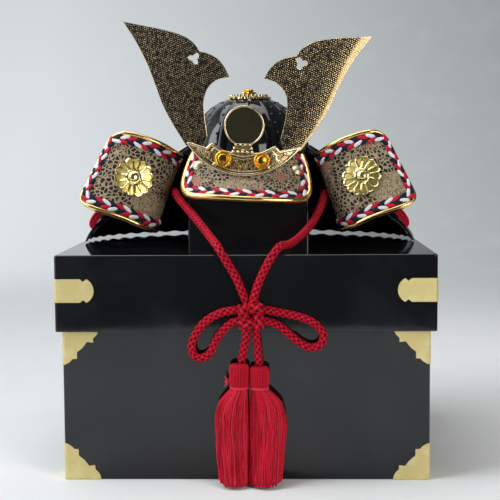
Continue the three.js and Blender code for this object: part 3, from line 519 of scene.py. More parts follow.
def unit(vectors: Points) -> Points:
    """Vectors made one long."""
    return vectors / np.maximum(np.linalg.norm(vectors, axis=-1, keepdims=True), 1e-12)


def lerp(low: float | Points, high: float | Points, share: float | Points) -> float | Points:
    """A value some of the way from low to high."""
    return low + (high - low) * share


def row_points(rows: Iterable[Sequence[float]]) -> Points:
    """Rows of numbers as an array of points."""
    return np.array([list(row) for row in rows], float)


def coords(*numbers: float | Points) -> Points:
    """Points from their numbers along each axis."""
    return np.stack(np.broadcast_arrays(*numbers), axis=-1)


def polar(reach: float | Points, turn: float | Points, height: float | Points = 0.0) -> Points:
    """Points round the upright axis, from how far out, which way and how high."""
    return coords(reach * np.cos(turn), reach * np.sin(turn), height)


def full_turn(steps: int) -> Points:
    """Even angles once round."""
    return np.linspace(0, TAU, steps, endpoint=False)


def smooth_line(points: Points, per: int = 12) -> Points:
    """A centripetal curve through points, as the solids' routes are.

    Args:
        points: the points that it goes through.
        per: steps between two of them.

    Returns:
        The points of a fine line.
    """
    padded = np.vstack([2 * points[0] - points[1], points, 2 * points[-1] - points[-2]])
    line = []
    for index in range(len(points) - 1):
        a, b, c, d = padded[index : index + 4]
        gaps = [max(np.linalg.norm(q - p) ** 0.5, 1e-6) for p, q in ((a, b), (b, c), (c, d))]
        start = (b - a) / gaps[0] - (c - a) / (gaps[0] + gaps[1]) + (c - b) / gaps[1]
        end = (c - b) / gaps[1] - (d - b) / (gaps[1] + gaps[2]) + (d - c) / gaps[2]
        start, end = start * gaps[1], end * gaps[1]
        for step in range(per):
            t = step / per
            line.append(
                b * (2 * t**3 - 3 * t**2 + 1)
                + start * (t**3 - 2 * t**2 + t)
                + c * (3 * t**2 - 2 * t**3)
                + end * (t**3 - t**2)
            )
    line.append(points[-1])
    return np.array(line)


def line_run(line: Points) -> Points:
    """How far along a line each of its points lies."""
    return np.concatenate([[0], np.cumsum(np.linalg.norm(np.diff(line, axis=0), axis=1))])


def line_length(line: Points) -> float:
    """How long a line of points is."""
    return float(line_run(line)[-1])


def even_line(line: Points, shares: int | Points) -> Points:
    """Spots along a line, by its length.

    Args:
        line: the line's points.
        shares: the spots' shares of the length, or how many even steps to take.

    Returns:
        The spots.
    """
    if isinstance(shares, int):
        shares = np.linspace(0, 1, shares + 1)
    run = line_run(line)
    spots = np.asarray(shares) * run[-1]
    return np.stack([np.interp(spots, run, line[:, axis]) for axis in range(line.shape[1])], axis=-1)


def quadratic(start: Sequence[float], bend: Sequence[float], end: Sequence[float]) -> Points:
    """A curve pulled towards one bend, without its first point."""
    t = np.linspace(0, 1, CURVE_STEPS + 1)[1:, None]
    a, b, c = (np.array(point, float) for point in (start, bend, end))
    return a * (1 - t) ** 2 + 2 * b * t * (1 - t) + c * t**2


def carried_frames(line: Points, up: Points | None = None) -> tuple[Points, Points]:
    """Two directions across a line at each of its points, carried along without twisting.

    Args:
        line: the line's points.
        up: a direction at each point that the first of the two keeps to, where there is one.

    Returns:
        The two directions.
    """
    ahead = unit(np.gradient(line, axis=0))
    if up is not None:
        first = unit(up - (up * ahead).sum(1)[:, None] * ahead)
        return first, np.cross(ahead, first)
    first = np.empty_like(line)
    guess = np.eye(3)[np.argmin(np.abs(ahead[0]))]
    for index, way in enumerate(ahead):
        guess = guess - way * guess.dot(way)
        guess = guess / np.linalg.norm(guess)
        first[index] = guess
    return first, np.cross(ahead, first)


def grid_faces(
    rows: int, columns: int, wrap_columns: bool = False, wrap_rows: bool = False
) -> list[tuple[int, ...]]:
    """Quads of a grid of points.

    Args:
        rows: rows of points.
        columns: points in a row.
        wrap_columns: whether the last column meets the first.
        wrap_rows: whether the last row meets the first.

    Returns:
        The quads.
    """
    faces = []
    for row in range(rows if wrap_rows else rows - 1):
        here, below = row * columns, (row + 1) % rows * columns
        for column in range(columns if wrap_columns else columns - 1):
            right = (column + 1) % columns
            faces.append((here + column, here + right, below + right, below + column))
    return faces


def surface_normal(surface: Callable[[Points, Points], Points], a: Points, b: Points) -> Points:
    """The way a surface of two numbers looks at spots."""
    along = surface(a + SLOPE_STEP, b) - surface(a - SLOPE_STEP, b)
    down = surface(a, b + SLOPE_STEP) - surface(a, b - SLOPE_STEP)
    return unit(np.cross(along, down))


class Draft:
    """Gathers the points and faces of one piece, in millimetres."""

    def __init__(self) -> None:
        """Starts empty."""
        self.points: list[Points] = []
        self.charts: list[Points] = []
        self.faces: list[tuple[int, ...]] = []
        self.marks: list[int] = []
        self.count = 0

    def add(
        self, points: Points, faces: Iterable[Sequence[int]], mark: int = 0, chart: Points | None = None
    ) -> None:
        """Adds points and faces.

        Args:
            points: the points.
            faces: corner numbers among these points.
            mark: which of the piece's finishes the faces take.
            chart: where each point lies on the finish's flat chart.
        """
        points = np.asarray(points, float).reshape(-1, 3)
        flat = np.zeros_like(points)
        if chart is not None:
            flat[:, : chart.shape[-1]] = chart.reshape(len(points), -1)
        self.points.append(points)
        self.charts.append(flat)
        before = len(self.faces)
        self.faces.extend(tuple(corner + self.count for corner in face) for face in faces)
        self.marks.extend([mark] * (len(self.faces) - before))
        self.count += len(points)

    def loft(self, rings: Points, mark: int = 0, caps: bool = True, chart: Points | None = None) -> None:
        """Skins closed rings, each with the same number of points.

        Args:
            rings: an array of rings of points.
            mark: the finish.
            caps: whether the first and last ring are closed over.
            chart: the flat chart's points.
        """
        rows, columns = rings.shape[:2]
        faces = grid_faces(rows, columns, wrap_columns=True)
        if caps:
            faces.append(tuple(range(columns))[::-1])
            faces.append(tuple(range((rows - 1) * columns, rows * columns)))
        self.add(rings, faces, mark, chart)

    def tube(
        self,
        line: Points,
        radius: float | Points,
        sides: int = 8,
        mark: int = 0,
        up: Points | None = None,
        flat: float = 1.0,
        closed: bool = False,
        depth: float | Points = 0.0,
        edge: float = 0.0,
    ) -> None:
        """Adds a tube along a line.

        Args:
            line: the line's points.
            radius: the radius, or one for each point.
            sides: sides of its section.
            mark: the finish.
            up: a direction that its section keeps to.
            flat: the section's reach along up, as a share of the radius.
            closed: whether the line is a ring without a repeated point.
            depth: the chart's third number, which silk paints as shade, or one for each point.
            edge: how much that number, and so the painted shade, grows round to the tube's underside.
        """
        path = np.vstack([line[-1:], line, line[:1]]) if closed else line
        first, second = carried_frames(path, up)
        if closed:
            first, second = first[1:-1], second[1:-1]
        reach = np.broadcast_to(np.asarray(radius, float), (len(line),))[:, None, None]
        turn = full_turn(sides)
        cos, sin = np.cos(turn)[None, :, None], np.sin(turn)[None, :, None]
        rings = line[:, None] + reach * (flat * cos * first[:, None] + sin * second[:, None])
        # dark is painted shade for the finish: the given depth, growing round to the tube's underside.
        dark = np.reshape(depth, (-1, 1)) + edge * (0.5 - 0.5 * np.cos(turn))
        run = line_run(line)[:, None]
        chart = coords(run, turn * reach[:, :, 0], np.minimum(dark, 1))
        if closed:
            self.add(rings, grid_faces(len(line), sides, True, True), mark, chart)
        else:
            self.loft(rings, mark, True, chart)

    def lathe(
        self,
        profile: Sequence[tuple[float, float]],
        columns: int,
        mark: int = 0,
        lobe: Callable[[Points, int], Points] | None = None,
        seat: "Seat | None" = None,
    ) -> None:
        """Turns a profile round the upright axis.

        Args:
            profile: radius and height of each ring.
            columns: steps round.
            mark: the finish.
            lobe: what to add to the radius, by angle and ring number.
            seat: where it sits, if not on the upright axis.
        """
        turn = full_turn(columns)
        rings = []
        for index, (radius, height) in enumerate(profile):
            swell = 0.0 if lobe is None else lobe(turn, index)
            rings.append(polar(np.maximum(radius + swell, 0), turn, height))
        points = np.array(rings)
        self.loft(points if seat is None else seat.put(points), mark)

    def bead(
        self,
        centre: Points,
        axes: Points,
        mark: int = 0,
        rings: int = 5,
        columns: int = 8,
        square: float = 1.0,
    ) -> None:
        """Adds an ellipsoid, or a boxier pad.

        Args:
            centre: its middle.
            axes: its three half axes, as rows.
            mark: the finish.
            rings: rings from end to end.
            columns: steps round.
            square: 1 for an ellipsoid, less for a boxier shape.
        """
        fall = np.linspace(0, math.pi, rings + 2)
        turn = full_turn(columns)
        waves = np.cos(fall), np.sin(fall), np.cos(turn), np.sin(turn)
        cos, sin, around, over = (np.sign(wave) * np.abs(wave) ** square for wave in waves)
        ends = np.broadcast_to(-cos[:, None], (rings + 2, columns))
        ball = coords(ends, sin[:, None] * around, sin[:, None] * over)
        long, wide = np.linalg.norm(axes[0]), np.linalg.norm(axes[1])
        chart = coords(ends * long, np.broadcast_to(turn, ends.shape) * wide)
        self.loft(centre + ball @ axes, mark, False, chart)

    def sheet(
        self,
        top: Points,
        under: Points,
        mark: int = 0,
        under_mark: int | None = None,
        chart: Points | None = None,
    ) -> None:
        """Closes a wall between two grids of points.

        Args:
            top: the outer face's grid.
            under: the inner face's grid, point for point.
            mark: the outer face's finish.
            under_mark: the inner face's finish, if another.
            chart: the flat chart's grid.
        """
        rows, columns = top.shape[:2]
        faces = grid_faces(rows, columns)
        layer = rows * columns
        rim = (
            [(0, column) for column in range(columns)]
            + [(row, columns - 1) for row in range(1, rows)]
            + [(rows - 1, column) for column in range(columns - 2, -1, -1)]
            + [(row, 0) for row in range(rows - 2, 0, -1)]
        )
        edge = [row * columns + column for row, column in rim]
        behind = edge[-1:] + edge[:-1]
        sides = [(here, past, past + layer, here + layer) for here, past in zip(edge, behind)]
        back = [tuple(corner + layer for corner in reversed(face)) for face in faces]
        both = None if chart is None else np.concatenate([chart.reshape(layer, -1)] * 2)
        before = len(self.faces)
        points = np.concatenate([top.reshape(-1, 3), under.reshape(-1, 3)])
        self.add(points, faces + sides + back, mark, both)
        if under_mark is not None:
            start = before + len(faces) + len(sides)
            self.marks[start:] = [under_mark] * len(back)

    def build(
        self,
        name: str,
        finishes: Sequence[Finish],
        slot: Slot,
        stands_for: Sequence[str] = (),
        move: Mover | None = None,
        crease: float = 38.0,
    ) -> bpy.types.Object:
        """Makes the piece and sets it on its body.

        Args:
            name: the piece's name.
            finishes: the finishes that the marks count.
            slot: a material slot; not used.
            stands_for: the solids that it replaces.
            move: what takes its points to the box's frame.
            crease: edges sharper than this, in degrees, stay sharp.

        Returns:
            The piece.
        """
        points = np.concatenate(self.points)
        points = move(points) if move else points
        mesh = bpy.data.meshes.new(name)
        mesh.from_pydata((points * MM).tolist(), [], self.faces)
        chart = mesh.attributes.new("chart", "FLOAT_VECTOR", "POINT")
        chart.data.foreach_set("vector", np.concatenate(self.charts).astype(np.float32).ravel())
        mesh.polygons.foreach_set("material_index", self.marks)
        work = bmesh.new()
        work.from_mesh(mesh)
        bmesh.ops.remove_doubles(work, verts=work.verts, dist=WELD)
        bmesh.ops.recalc_face_normals(work, faces=work.faces)
        work.to_mesh(mesh)
        work.free()
        mesh.polygons.foreach_set("use_smooth", [True] * len(mesh.polygons))
        mesh.set_sharp_from_angle(angle=math.radians(crease))
        for finish in finishes:
            mesh.materials.append(finish.material())
        piece = bpy.data.objects.new(name, mesh)
        bpy.context.scene.collection.objects.link(piece)
        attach(piece, BODY)
        if stands_for:
            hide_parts(*stands_for)
        LOG.info("%s: %d faces", name, len(mesh.polygons))
        return piece


@dataclass(frozen=True)
class Seat:
    """A spot that a small turned piece sits on, with the way it faces."""

    spot: Points
    out: Points

    def axes(self) -> Points:
        """The seat's three directions, the last of them out."""
        out = unit(np.asarray(self.out, float))
        side = unit(np.cross([0.0, 0.0, 1.0], out))
        return np.stack([side, np.cross(out, side), out])

    def put(self, points: Points) -> Points:
        """Points made along the upright axis, taken to the seat."""
        return np.asarray(self.spot, float) + points @ self.axes()


def on_lid(points: Points) -> Points:
    """Points measured from the lid's top, in the box's frame."""
    return points + np.array([0.0, 0.0, LID_TOP])


@dataclass(frozen=True)
class Lean:
    """The front of the helmet leans a little to one side, about the bowl's middle."""

    tilt: float = math.radians(3.1)
    middle: float = 63.0
    shift: float = 0.0

    def __call__(self, points: Points) -> Points:
        """Leans points and sets them on the lid."""
        cos, sin = math.cos(self.tilt), math.sin(self.tilt)
        x, up = points[:, 0] + self.shift, points[:, 2] - self.middle
        leaned = coords(x * cos + up * sin, points[:, 1], self.middle - x * sin + up * cos)
        return on_lid(leaned)


PEAK_LEAN = Lean()
CREST_LEAN = Lean(shift=-3.2)


def rounded_ring(half_x: float, half_y: float, corner: float, height: float) -> Points:
    """A rectangle with round corners, as points in order, with a point just past each end of a round.

    Args:
        half_x: half its width.
        half_y: half its depth.
        corner: the corners' radius.
        height: how high it lies.

    Returns:
        The ring's points.
    """
    corner = max(corner, SHARP_CORNER)
    spots = []
    for quarter, (sign_x, sign_y) in enumerate(((1, 1), (-1, 1), (-1, -1), (1, -1))):
        middle = np.array([sign_x * (half_x - corner), sign_y * (half_y - corner)])
        turns = (quarter + np.linspace(0, 1, CORNER_STEPS + 1)) * math.pi / 2
        arc = middle + corner * coords(np.cos(turns), np.sin(turns))
        into = np.array([math.cos(turns[-1]), math.sin(turns[-1])])
        out_of = np.array([math.cos(turns[0]), math.sin(turns[0])])
        spots.extend([arc[0] - into * SUPPORT, *arc, arc[-1] - out_of * SUPPORT])
    return np.column_stack([spots, np.full(len(spots), height)])


def round_edge(inset: float, height: float, radius: float, start: float, steps: int = 5) -> Rows2:
    """A quarter round of a profile, as inset and height, with a point just past each end.

    Args:
        inset: the round's middle, inward from the side.
        height: the round's middle.
        radius: its radius.
        start: the quarter turn that it starts from: 0 inward, 1 up, 2 outward, 3 down.
        steps: steps in the quarter.

    Returns:
        The profile's points, with falling angle.
    """
    turns = (start - np.linspace(0, 1, steps + 1)) * math.pi / 2
    spots = np.array([inset, height]) + radius * coords(np.cos(turns), np.sin(turns))
    before = SUPPORT * np.array([-math.sin(turns[0]), math.cos(turns[0])])
    after = SUPPORT * np.array([-math.sin(turns[-1]), math.cos(turns[-1])])
    return tuple(tuple(map(float, spot)) for spot in (spots[0] + before, *spots, spots[-1] - after))


@dataclass
class StorageBox:
    """The lacquered box: an open base, a lid whose skirt goes over it, and foil on the corners."""

    width: float = 270.0
    depth: float = 250.0
    lid_low: float = 107.5
    lid_wall: float = 4.0
    base_wall: float = 5.0
    inset: float = 4.4
    corner: float = 2.0
    edge: float = 1.3
    fillet: float = 1.0
    skin: float = 0.4
    reach: float = 26.0
    tucked: float = 2.4
    gap: float = 0.4
    strap_height: float = 16.7
    strap_drop: float = 16.8
    strap_head: float = 22.9
    strap_length: float = 28.0
    fine: float = 0.02
    under_skin: float = 0.1
    strap_band: tuple[float, ...] = (0.0, 6.0, 12.0, 18.3)
    strap_notch: tuple[float, float] = (20.5, 1.9)
    scallop: Rows2 = ((22.0, 7.0), (21.8, 10.2), (17.4, 9.6))
    end_bulge: tuple[float, float] = (25.6, 4.4)
    middle_bulge: float = 14.5

    def build(self) -> None:
        """Builds the base, the lid and the corner foils."""
        self._tray("box_base", self._base_profile(), self.inset)
        self._tray("box_lid", self._lid_profile(), 0.0)
        self._corner_set("base_foil_bottom", self._scalloped(), self.inset, lambda z: z + self.gap)
        top = self.lid_low - self.gap + self.tucked
        self._corner_set("base_foil_top", self._scalloped(self.tucked), self.inset, lambda z: top - z)
        low = LID_TOP - self.strap_drop - self.strap_height
        self._corner_set("lid_strap", self._strap(), 0.0, lambda z: z + low)

    def _base_profile(self) -> Rows2:
        """The base's section from under its floor to inside it."""
        rim = LID_TOP - self.lid_wall
        edge, wall = self.edge, self.base_wall
        lip = edge / 2
        return (
            *round_edge(edge, edge, edge, 3),
            *round_edge(edge, rim - edge, edge, 2),
            *round_edge(wall - lip, rim - lip, lip, 1),
            (wall, wall + self.fillet),
            (wall + self.fillet, wall),
        )

    def _lid_profile(self) -> Rows2:
        """The lid's section from its underside over the skirt to its top."""
        low, edge, wall = self.lid_low, self.edge, self.lid_wall
        lip = edge / 2
        roof = LID_TOP - wall
        return (
            (wall + self.fillet, roof),
            (wall, roof - self.fillet),
            *round_edge(wall - lip, low + lip, lip, 4),
            *round_edge(lip, low + lip, lip, 3),
            *round_edge(edge, LID_TOP - edge, edge, 2, 6),
        )

    def _tray(self, name: str, profile: Rows2, inset: float) -> None:
        """Skins a tray from its section.

        Args:
            name: the node that it stands for.
            profile: inset and height of each ring.
            inset: how far its sides lie inside the lid's.
        """
        rings = []
        for inward, height in profile:
            away = inset + inward
            corner = self.corner - min(inward, self.edge)
            rings.append(rounded_ring(self.width / 2 - away, self.depth / 2 - away, corner, height))
        draft = Draft()
        draft.loft(np.array(rings))
        draft.build(f"{name}_lacquered", [BOX_LACQUER], Slot.BOX, [name], crease=50)

    def _scalloped(self, cut: float = 0.0) -> Rows3:
        """A scalloped corner's stations.

        Args:
            cut: how much of its foot is hidden.

        Returns:
            Distance from the corner, lower edge and upper edge of each station.
        """
        root, tooth, notch = self.scallop
        lobe = quadratic((self.reach, 0.0), self.end_bulge, root)
        middle = quadratic(notch, (self.middle_bulge, self.middle_bulge), notch[::-1])
        half = np.vstack([[(self.reach, 0.0)], lobe, [tooth, notch]])
        outline = np.vstack([half, middle[:-1], half[::-1, ::-1]])[::-1]
        kept = np.maximum.accumulate(outline[:, 0] + np.arange(len(outline)) * self.fine / 10)
        return tuple((float(x), cut, max(float(z), cut)) for x, z in zip(kept, outline[:, 1]))

    def _strap(self) -> Rows3:
        """The lid strap's stations: a band, a notch at each edge and a round head."""
        height, head, length = self.strap_height, self.strap_head, self.strap_length
        middle, bulge = height / 2, length - head
        radius = (bulge**2 + middle**2) / (2 * bulge)
        spot, cut = self.strap_notch
        stations = [(x, 0.0, height) for x in self.strap_band]
        stations += [(spot, cut, height - cut), (head, 0.0, height)]
        for x in head + bulge * np.sin(np.linspace(0.1, math.pi / 2, 10)):
            half = math.sqrt(max(radius**2 - (x - length + radius) ** 2, 0.0025))
            stations.append((float(x), middle - half, middle + half))
        return tuple(stations)

    def _corner_set(self, name: str, stations: Rows3, inset: float, level: Mover) -> None:
        """Wraps one foil round each upright corner.

        Args:
            name: the start of the nodes' names.
            stations: distance from the corner, lower and upper edge.
            inset: how far the faces lie inside the lid's.
            level: takes an outline's height to the height above the ground.
        """
        half_x, half_y = self.width / 2 - inset, self.depth / 2 - inset
        for depth_word, sign_y in (("front", -1), ("back", 1)):
            for side in Side:
                draft = Draft()
                layers = [self._bent(stations, level, lift) for lift in (self.skin, -self.under_skin)]
                for layer in layers:
                    layer[..., 0] = side.value * (half_x - layer[..., 0])
                    layer[..., 1] = sign_y * (half_y - layer[..., 1])
                draft.sheet(*layers)
                node = f"{name}_{depth_word}_{side.word}"
                draft.build(f"{node}_foil", [CORNER_FOIL], Slot.FOIL, [node], crease=30)

    def _bent(self, stations: Rows3, level: Mover, lift: float) -> Points:
        """A foil's outline bent round a corner at the origin, with arms along both axes.

        Args:
            stations: distance from the corner, lower and upper edge.
            level: takes heights to the ground.
            lift: how far the skin lies out from the faces.

        Returns:
            A grid of points.
        """
        both = [(-x, low, high) for x, low, high in reversed(stations) if x > self.corner]
        soft = [(turn * self.corner, *stations[0][1:]) for turn in np.linspace(-0.999, 0.999, 9)]
        arms = both + soft + [row for row in stations if row[0] > self.corner]
        rows = np.linspace(0, 1, 5)
        grid = []
        for x, low, high in arms:
            if abs(x) < self.corner:
                turn = (1 + x / self.corner) * math.pi / 4
                reach = self.corner + lift
                spot = (self.corner - reach * math.cos(turn), self.corner - reach * math.sin(turn))
            elif x > 0:
                spot = (x, -lift)
            else:
                spot = (-lift, -x)
            heights = level(lerp(low, high, rows))
            grid.append([(*spot, z) for z in heights])
        return np.array(grid)


@dataclass
class HelmetStand:
    """The plain block on the lid and the post that carries the bowl."""

    width: float = 95.0
    depth: float = 56.0
    height: float = 38.0
    edge: float = 1.2
    corner: float = 2.0
    post: Rows2 = ((20.0, 37.0), (20.0, 104.0), (14.0, 107.4), (0.0, 109.0))

    def build(self) -> None:
        """Builds the stand."""
        draft = Draft()
        rings = []
        for inward, height in ((0.0, 0.0), *round_edge(self.edge, self.height - self.edge, self.edge, 2)):
            half_x, half_y = self.width / 2 - inward, self.depth / 2 - inward
            rings.append(rounded_ring(half_x, half_y, self.corner, height))
        draft.loft(np.array(rings))
        draft.lathe(self.post, 40)
        draft.build("stand_block", [STAND_LACQUER], Slot.STAND, ["stand"], on_lid)


@dataclass
class Bowl:
    """The ribbed dome with its rivets, and the gold crown ring and knob."""

    radius: float = 48.5
    rise: float = 51.9
    fullness: float = 2.2
    middle: float = 63.0
    band: float = 5.0
    wall: float = 1.5
    ribs: int = 14
    rib_height: float = 0.85
    rib_width: float = 0.9
    crown: float = 12.0
    rivet_rings: Rows2 = ((1.35, 0.0), (1.242, 0.45), (0.81, 0.85), (0.0, 1.0))
    rivet_sink: float = 0.15
    rivet_rows: tuple[float, ...] = (26, 36, 46, 56, 66, 76)
    paired_from: float = 40.0
    pair: float = 0.27
    clear_front: float = 26.0
    crown_lift: float = 0.4
    crown_rows: Rows2 = (
        (6.6, -0.2), (16.4, -2.3), (17.8, -2.4), (17.8, -0.9),
        (16.0, -0.1), (12.6, 0.6), (9.4, 1.5), (6.1, 1.3),
    )
    petals: int = 14
    petal_depth: float = 2.2
    bead: tuple[float, float, float] = (1.25, 14.2, 0.3)
    knob_rows: Rows2 = (
        (4.2, 1.5), (5.2, 1.9), (5.9, 2.5), (5.6, 3.2), (3.6, 3.7),
        (3.4, 4.1), (4.1, 4.7), (3.6, 5.3), (0, 6.0),
    )
    knob_lobes: int = 12

    def build(self) -> None:
        """Builds the dome and the crown."""
        self._dome()
        self._crown()

    def _spot(self, tilt: float, shrink: float = 0.0) -> tuple[float, float]:
        """Radius and height on the dome, or inside it, at a tilt from upright."""
        power = 2 / self.fullness
        out, up = (max(0.0, wave) ** power for wave in (math.sin(tilt), math.cos(tilt)))
        return (self.radius - shrink) * out, self.middle + (self.rise - shrink) * up

    def _dome(self) -> None:
        """Turns the ribbed dome and sets the rivets."""
        draft = Draft()
        foot = self.middle - self.band
        start = math.asin((self.crown / self.radius) ** (self.fullness / 2))
        profile = [self._spot(tilt, self.wall) for tilt in np.linspace(0, math.pi / 2, 16)]
        profile += [(self.radius - self.wall, foot), (self.radius, foot)]
        plain_rings = len(profile)
        sweep = np.linspace(math.pi / 2, start, 30)
        profile += [self._spot(tilt) for tilt in sweep]
        top = self.middle + self.rise
        profile += [(self.crown * 0.5, top - 0.7), (0.0, top - 0.4)]

        def rib(turn: Points, ring: int) -> Points:
            """Raised ribs between slightly hollow plates."""
            if not plain_rings <= ring < plain_rings + len(sweep):
                return np.zeros_like(turn)
            reach = profile[ring][0]
            share = (turn + math.pi / 2) * self.ribs / TAU
            away = np.abs(share - np.round(share)) * TAU / self.ribs * reach
            return self.rib_height * np.exp(-((away / self.rib_width) ** 2))

        draft.lathe(profile, self.ribs * 28, lobe=rib)
        for plate in range(self.ribs):
            turn = (plate + 0.5) * TAU / self.ribs - math.pi / 2
            from_front = math.degrees(abs((turn + math.pi / 2 + math.pi) % TAU - math.pi))
            if from_front < self.clear_front:
                continue
            for fall in self.rivet_rows:
                tilt = math.radians(fall)
                reach, height = self._spot(tilt, self.rivet_sink)
                for offset in (self.pair, -self.pair) if fall > self.paired_from else (0.0,):
                    angle = turn + offset * TAU / self.ribs
                    out = polar(math.sin(tilt), angle, math.cos(tilt))
                    draft.lathe(self.rivet_rings, 12, seat=Seat(polar(reach, angle, height), out))
        draft.build("bowl_lacquered", [HELMET_LACQUER], Slot.HELMET, ["bowl"], on_lid, crease=45)

    def _crown(self) -> None:
        """Builds the petalled ring with its beads, and the knob."""
        seat = self.middle + self.rise + self.crown_lift
        ring = Draft()

        def petal(turn: Points, ring_number: int) -> Points:
            """Rounded petals at the ring's edge."""
            swell = self.petal_depth if 1 <= ring_number <= 4 else 0.0
            return swell * (np.abs(np.cos(turn * self.petals / 2)) - 1)

        ring.lathe([(r, seat + z) for r, z in self.crown_rows], self.petals * 12, lobe=petal)
        size, reach, lift = self.bead
        for spot in polar(reach, full_turn(self.petals * 2), seat + lift):
            ring.bead(spot, np.eye(3) * size)
        ring.build("crown_ring", [PALE_GOLD], Slot.GOLD, ["crown_plate"], on_lid)
        knob = Draft()

        def lobes(turn: Points, ring_number: int) -> Points:
            """Shallow lobes round the knob."""
            return (0.35 if 1 <= ring_number <= 3 else 0.12) * np.cos(turn * self.knob_lobes)

        knob.lathe([(r, seat + z) for r, z in self.knob_rows], 72, lobe=lobes)
        knob.build("crown_knob", [ORANGE_GOLD], Slot.GOLD, ["crown_finial"], on_lid)


@dataclass
class Panel:
    """A curved leather panel cut from a visor's or flap's shape, with its trim."""

    name: str
    shape: "Visor | Flap"
    out_sign: float
    leather: PrintedLeather
    move: Mover
    rim_name: str
    braid_name: str
    rim_radius: float = 2.15
    rim_depth: float = 1.15
    rim_thin: float = 0.5
    rim_from: float = -1000.0
    rim_fade: float = 9.0
    braid_middle: float = 7.0
    braid_half: float = 1.6
    braid_bed: tuple[float, float, float] = (2.6, 0.3, 0.2)
    sheet_inset: float = 1.2
    pitch: float = 5.3
    slant: float = math.radians(20)
    stitch: tuple[float, float, float] = (3.9, 1.5, 0.9)
    stitch_lift: float = 0.7
    stitch_square: float = 0.72

    def outward(self, a: Points, b: Points) -> Points:
        """The way the panel's outer face looks at spots."""
        return surface_normal(self.shape.surface, a, b) * self.out_sign

    def raised(self, a: Points, b: Points, height: float) -> Points:
        """Spots lifted off the panel's middle face."""
        return self.shape.surface(a, b) + self.outward(a, b) * height

    def build(self) -> None:
        """Builds the leather sheet, the gold rim and the braid."""
        a, b = self.shape.rows(self.sheet_inset)
        draft = Draft()
        half = self.shape.thickness / 2
        draft.sheet(self.raised(a, b, half), self.raised(a, b, -half), 0, 1, coords(a, b))
        finishes = [self.leather, RED_LACQUER]
        draft.build(f"{self.name}_leather", finishes, Slot.LEATHER, [self.name], self.move)
        self._rim()
        self._braid()

    def _rim(self) -> None:
        """Runs the gold rim round the edge."""
        flat = even_line(self.shape.outline(self.rim_radius), 220)
        line = self.raised(flat[:, 0], flat[:, 1], 0.0)
        up = self.outward(flat[:, 0], flat[:, 1])
        draft = Draft()
        thin = lerp(self.rim_thin, 1.0, np.clip((flat[:, 0] - self.rim_from) / self.rim_fade, 0, 1))
        draft.tube(line, self.rim_radius * thin, 14, up=up, flat=self.rim_depth)
        draft.build(f"{self.rim_name}_gold", [RIM_GOLD], Slot.GOLD, [self.rim_name], self.move)

    def _braid(self) -> None:
        """Lays two rows of slanting stitches in three colours inside the rim."""
        draft = Draft()
        middle, face = self.shape.outline(self.braid_middle), self.shape.thickness / 2
        count = int(line_length(middle) / self.pitch)
        for row, sign in ((0, -1.0), (1, 1.0)):
            flat = self.shape.outline(self.braid_middle + sign * self.braid_half)
            for stitch in range(count):
                centre = (stitch + 0.5 + 0.5 * row) / (count + 0.5)
                spots = even_line(flat, np.clip([centre - 0.002, centre, centre + 0.002], 0, 1))
                points = self.raised(spots[:, 0], spots[:, 1], face + self.stitch_lift)
                out = self.outward(spots[1:2, 0], spots[1:2, 1])[0]
                ahead = unit(points[2] - points[0])
                side = np.cross(out, ahead)
                lean = self.slant * sign * self.out_sign
                way = ahead * math.cos(lean) + side * math.sin(lean)
                axes = np.stack([way, np.cross(out, way), out]) * np.array(self.stitch)[:, None]
                draft.bead(points[1], axes, (stitch + 2 * row) % 3, 9, 12, self.stitch_square)
        under = even_line(middle, 160)
        wide, flat, lift = self.braid_bed
        line = self.raised(under[:, 0], under[:, 1], face + lift)
        draft.tube(line, wide, 10, 2, self.outward(under[:, 0], under[:, 1]), flat)
        draft.build(f"{self.braid_name}_stitched", BRAID_SILKS, Slot.BRAID, [self.braid_name], self.move)


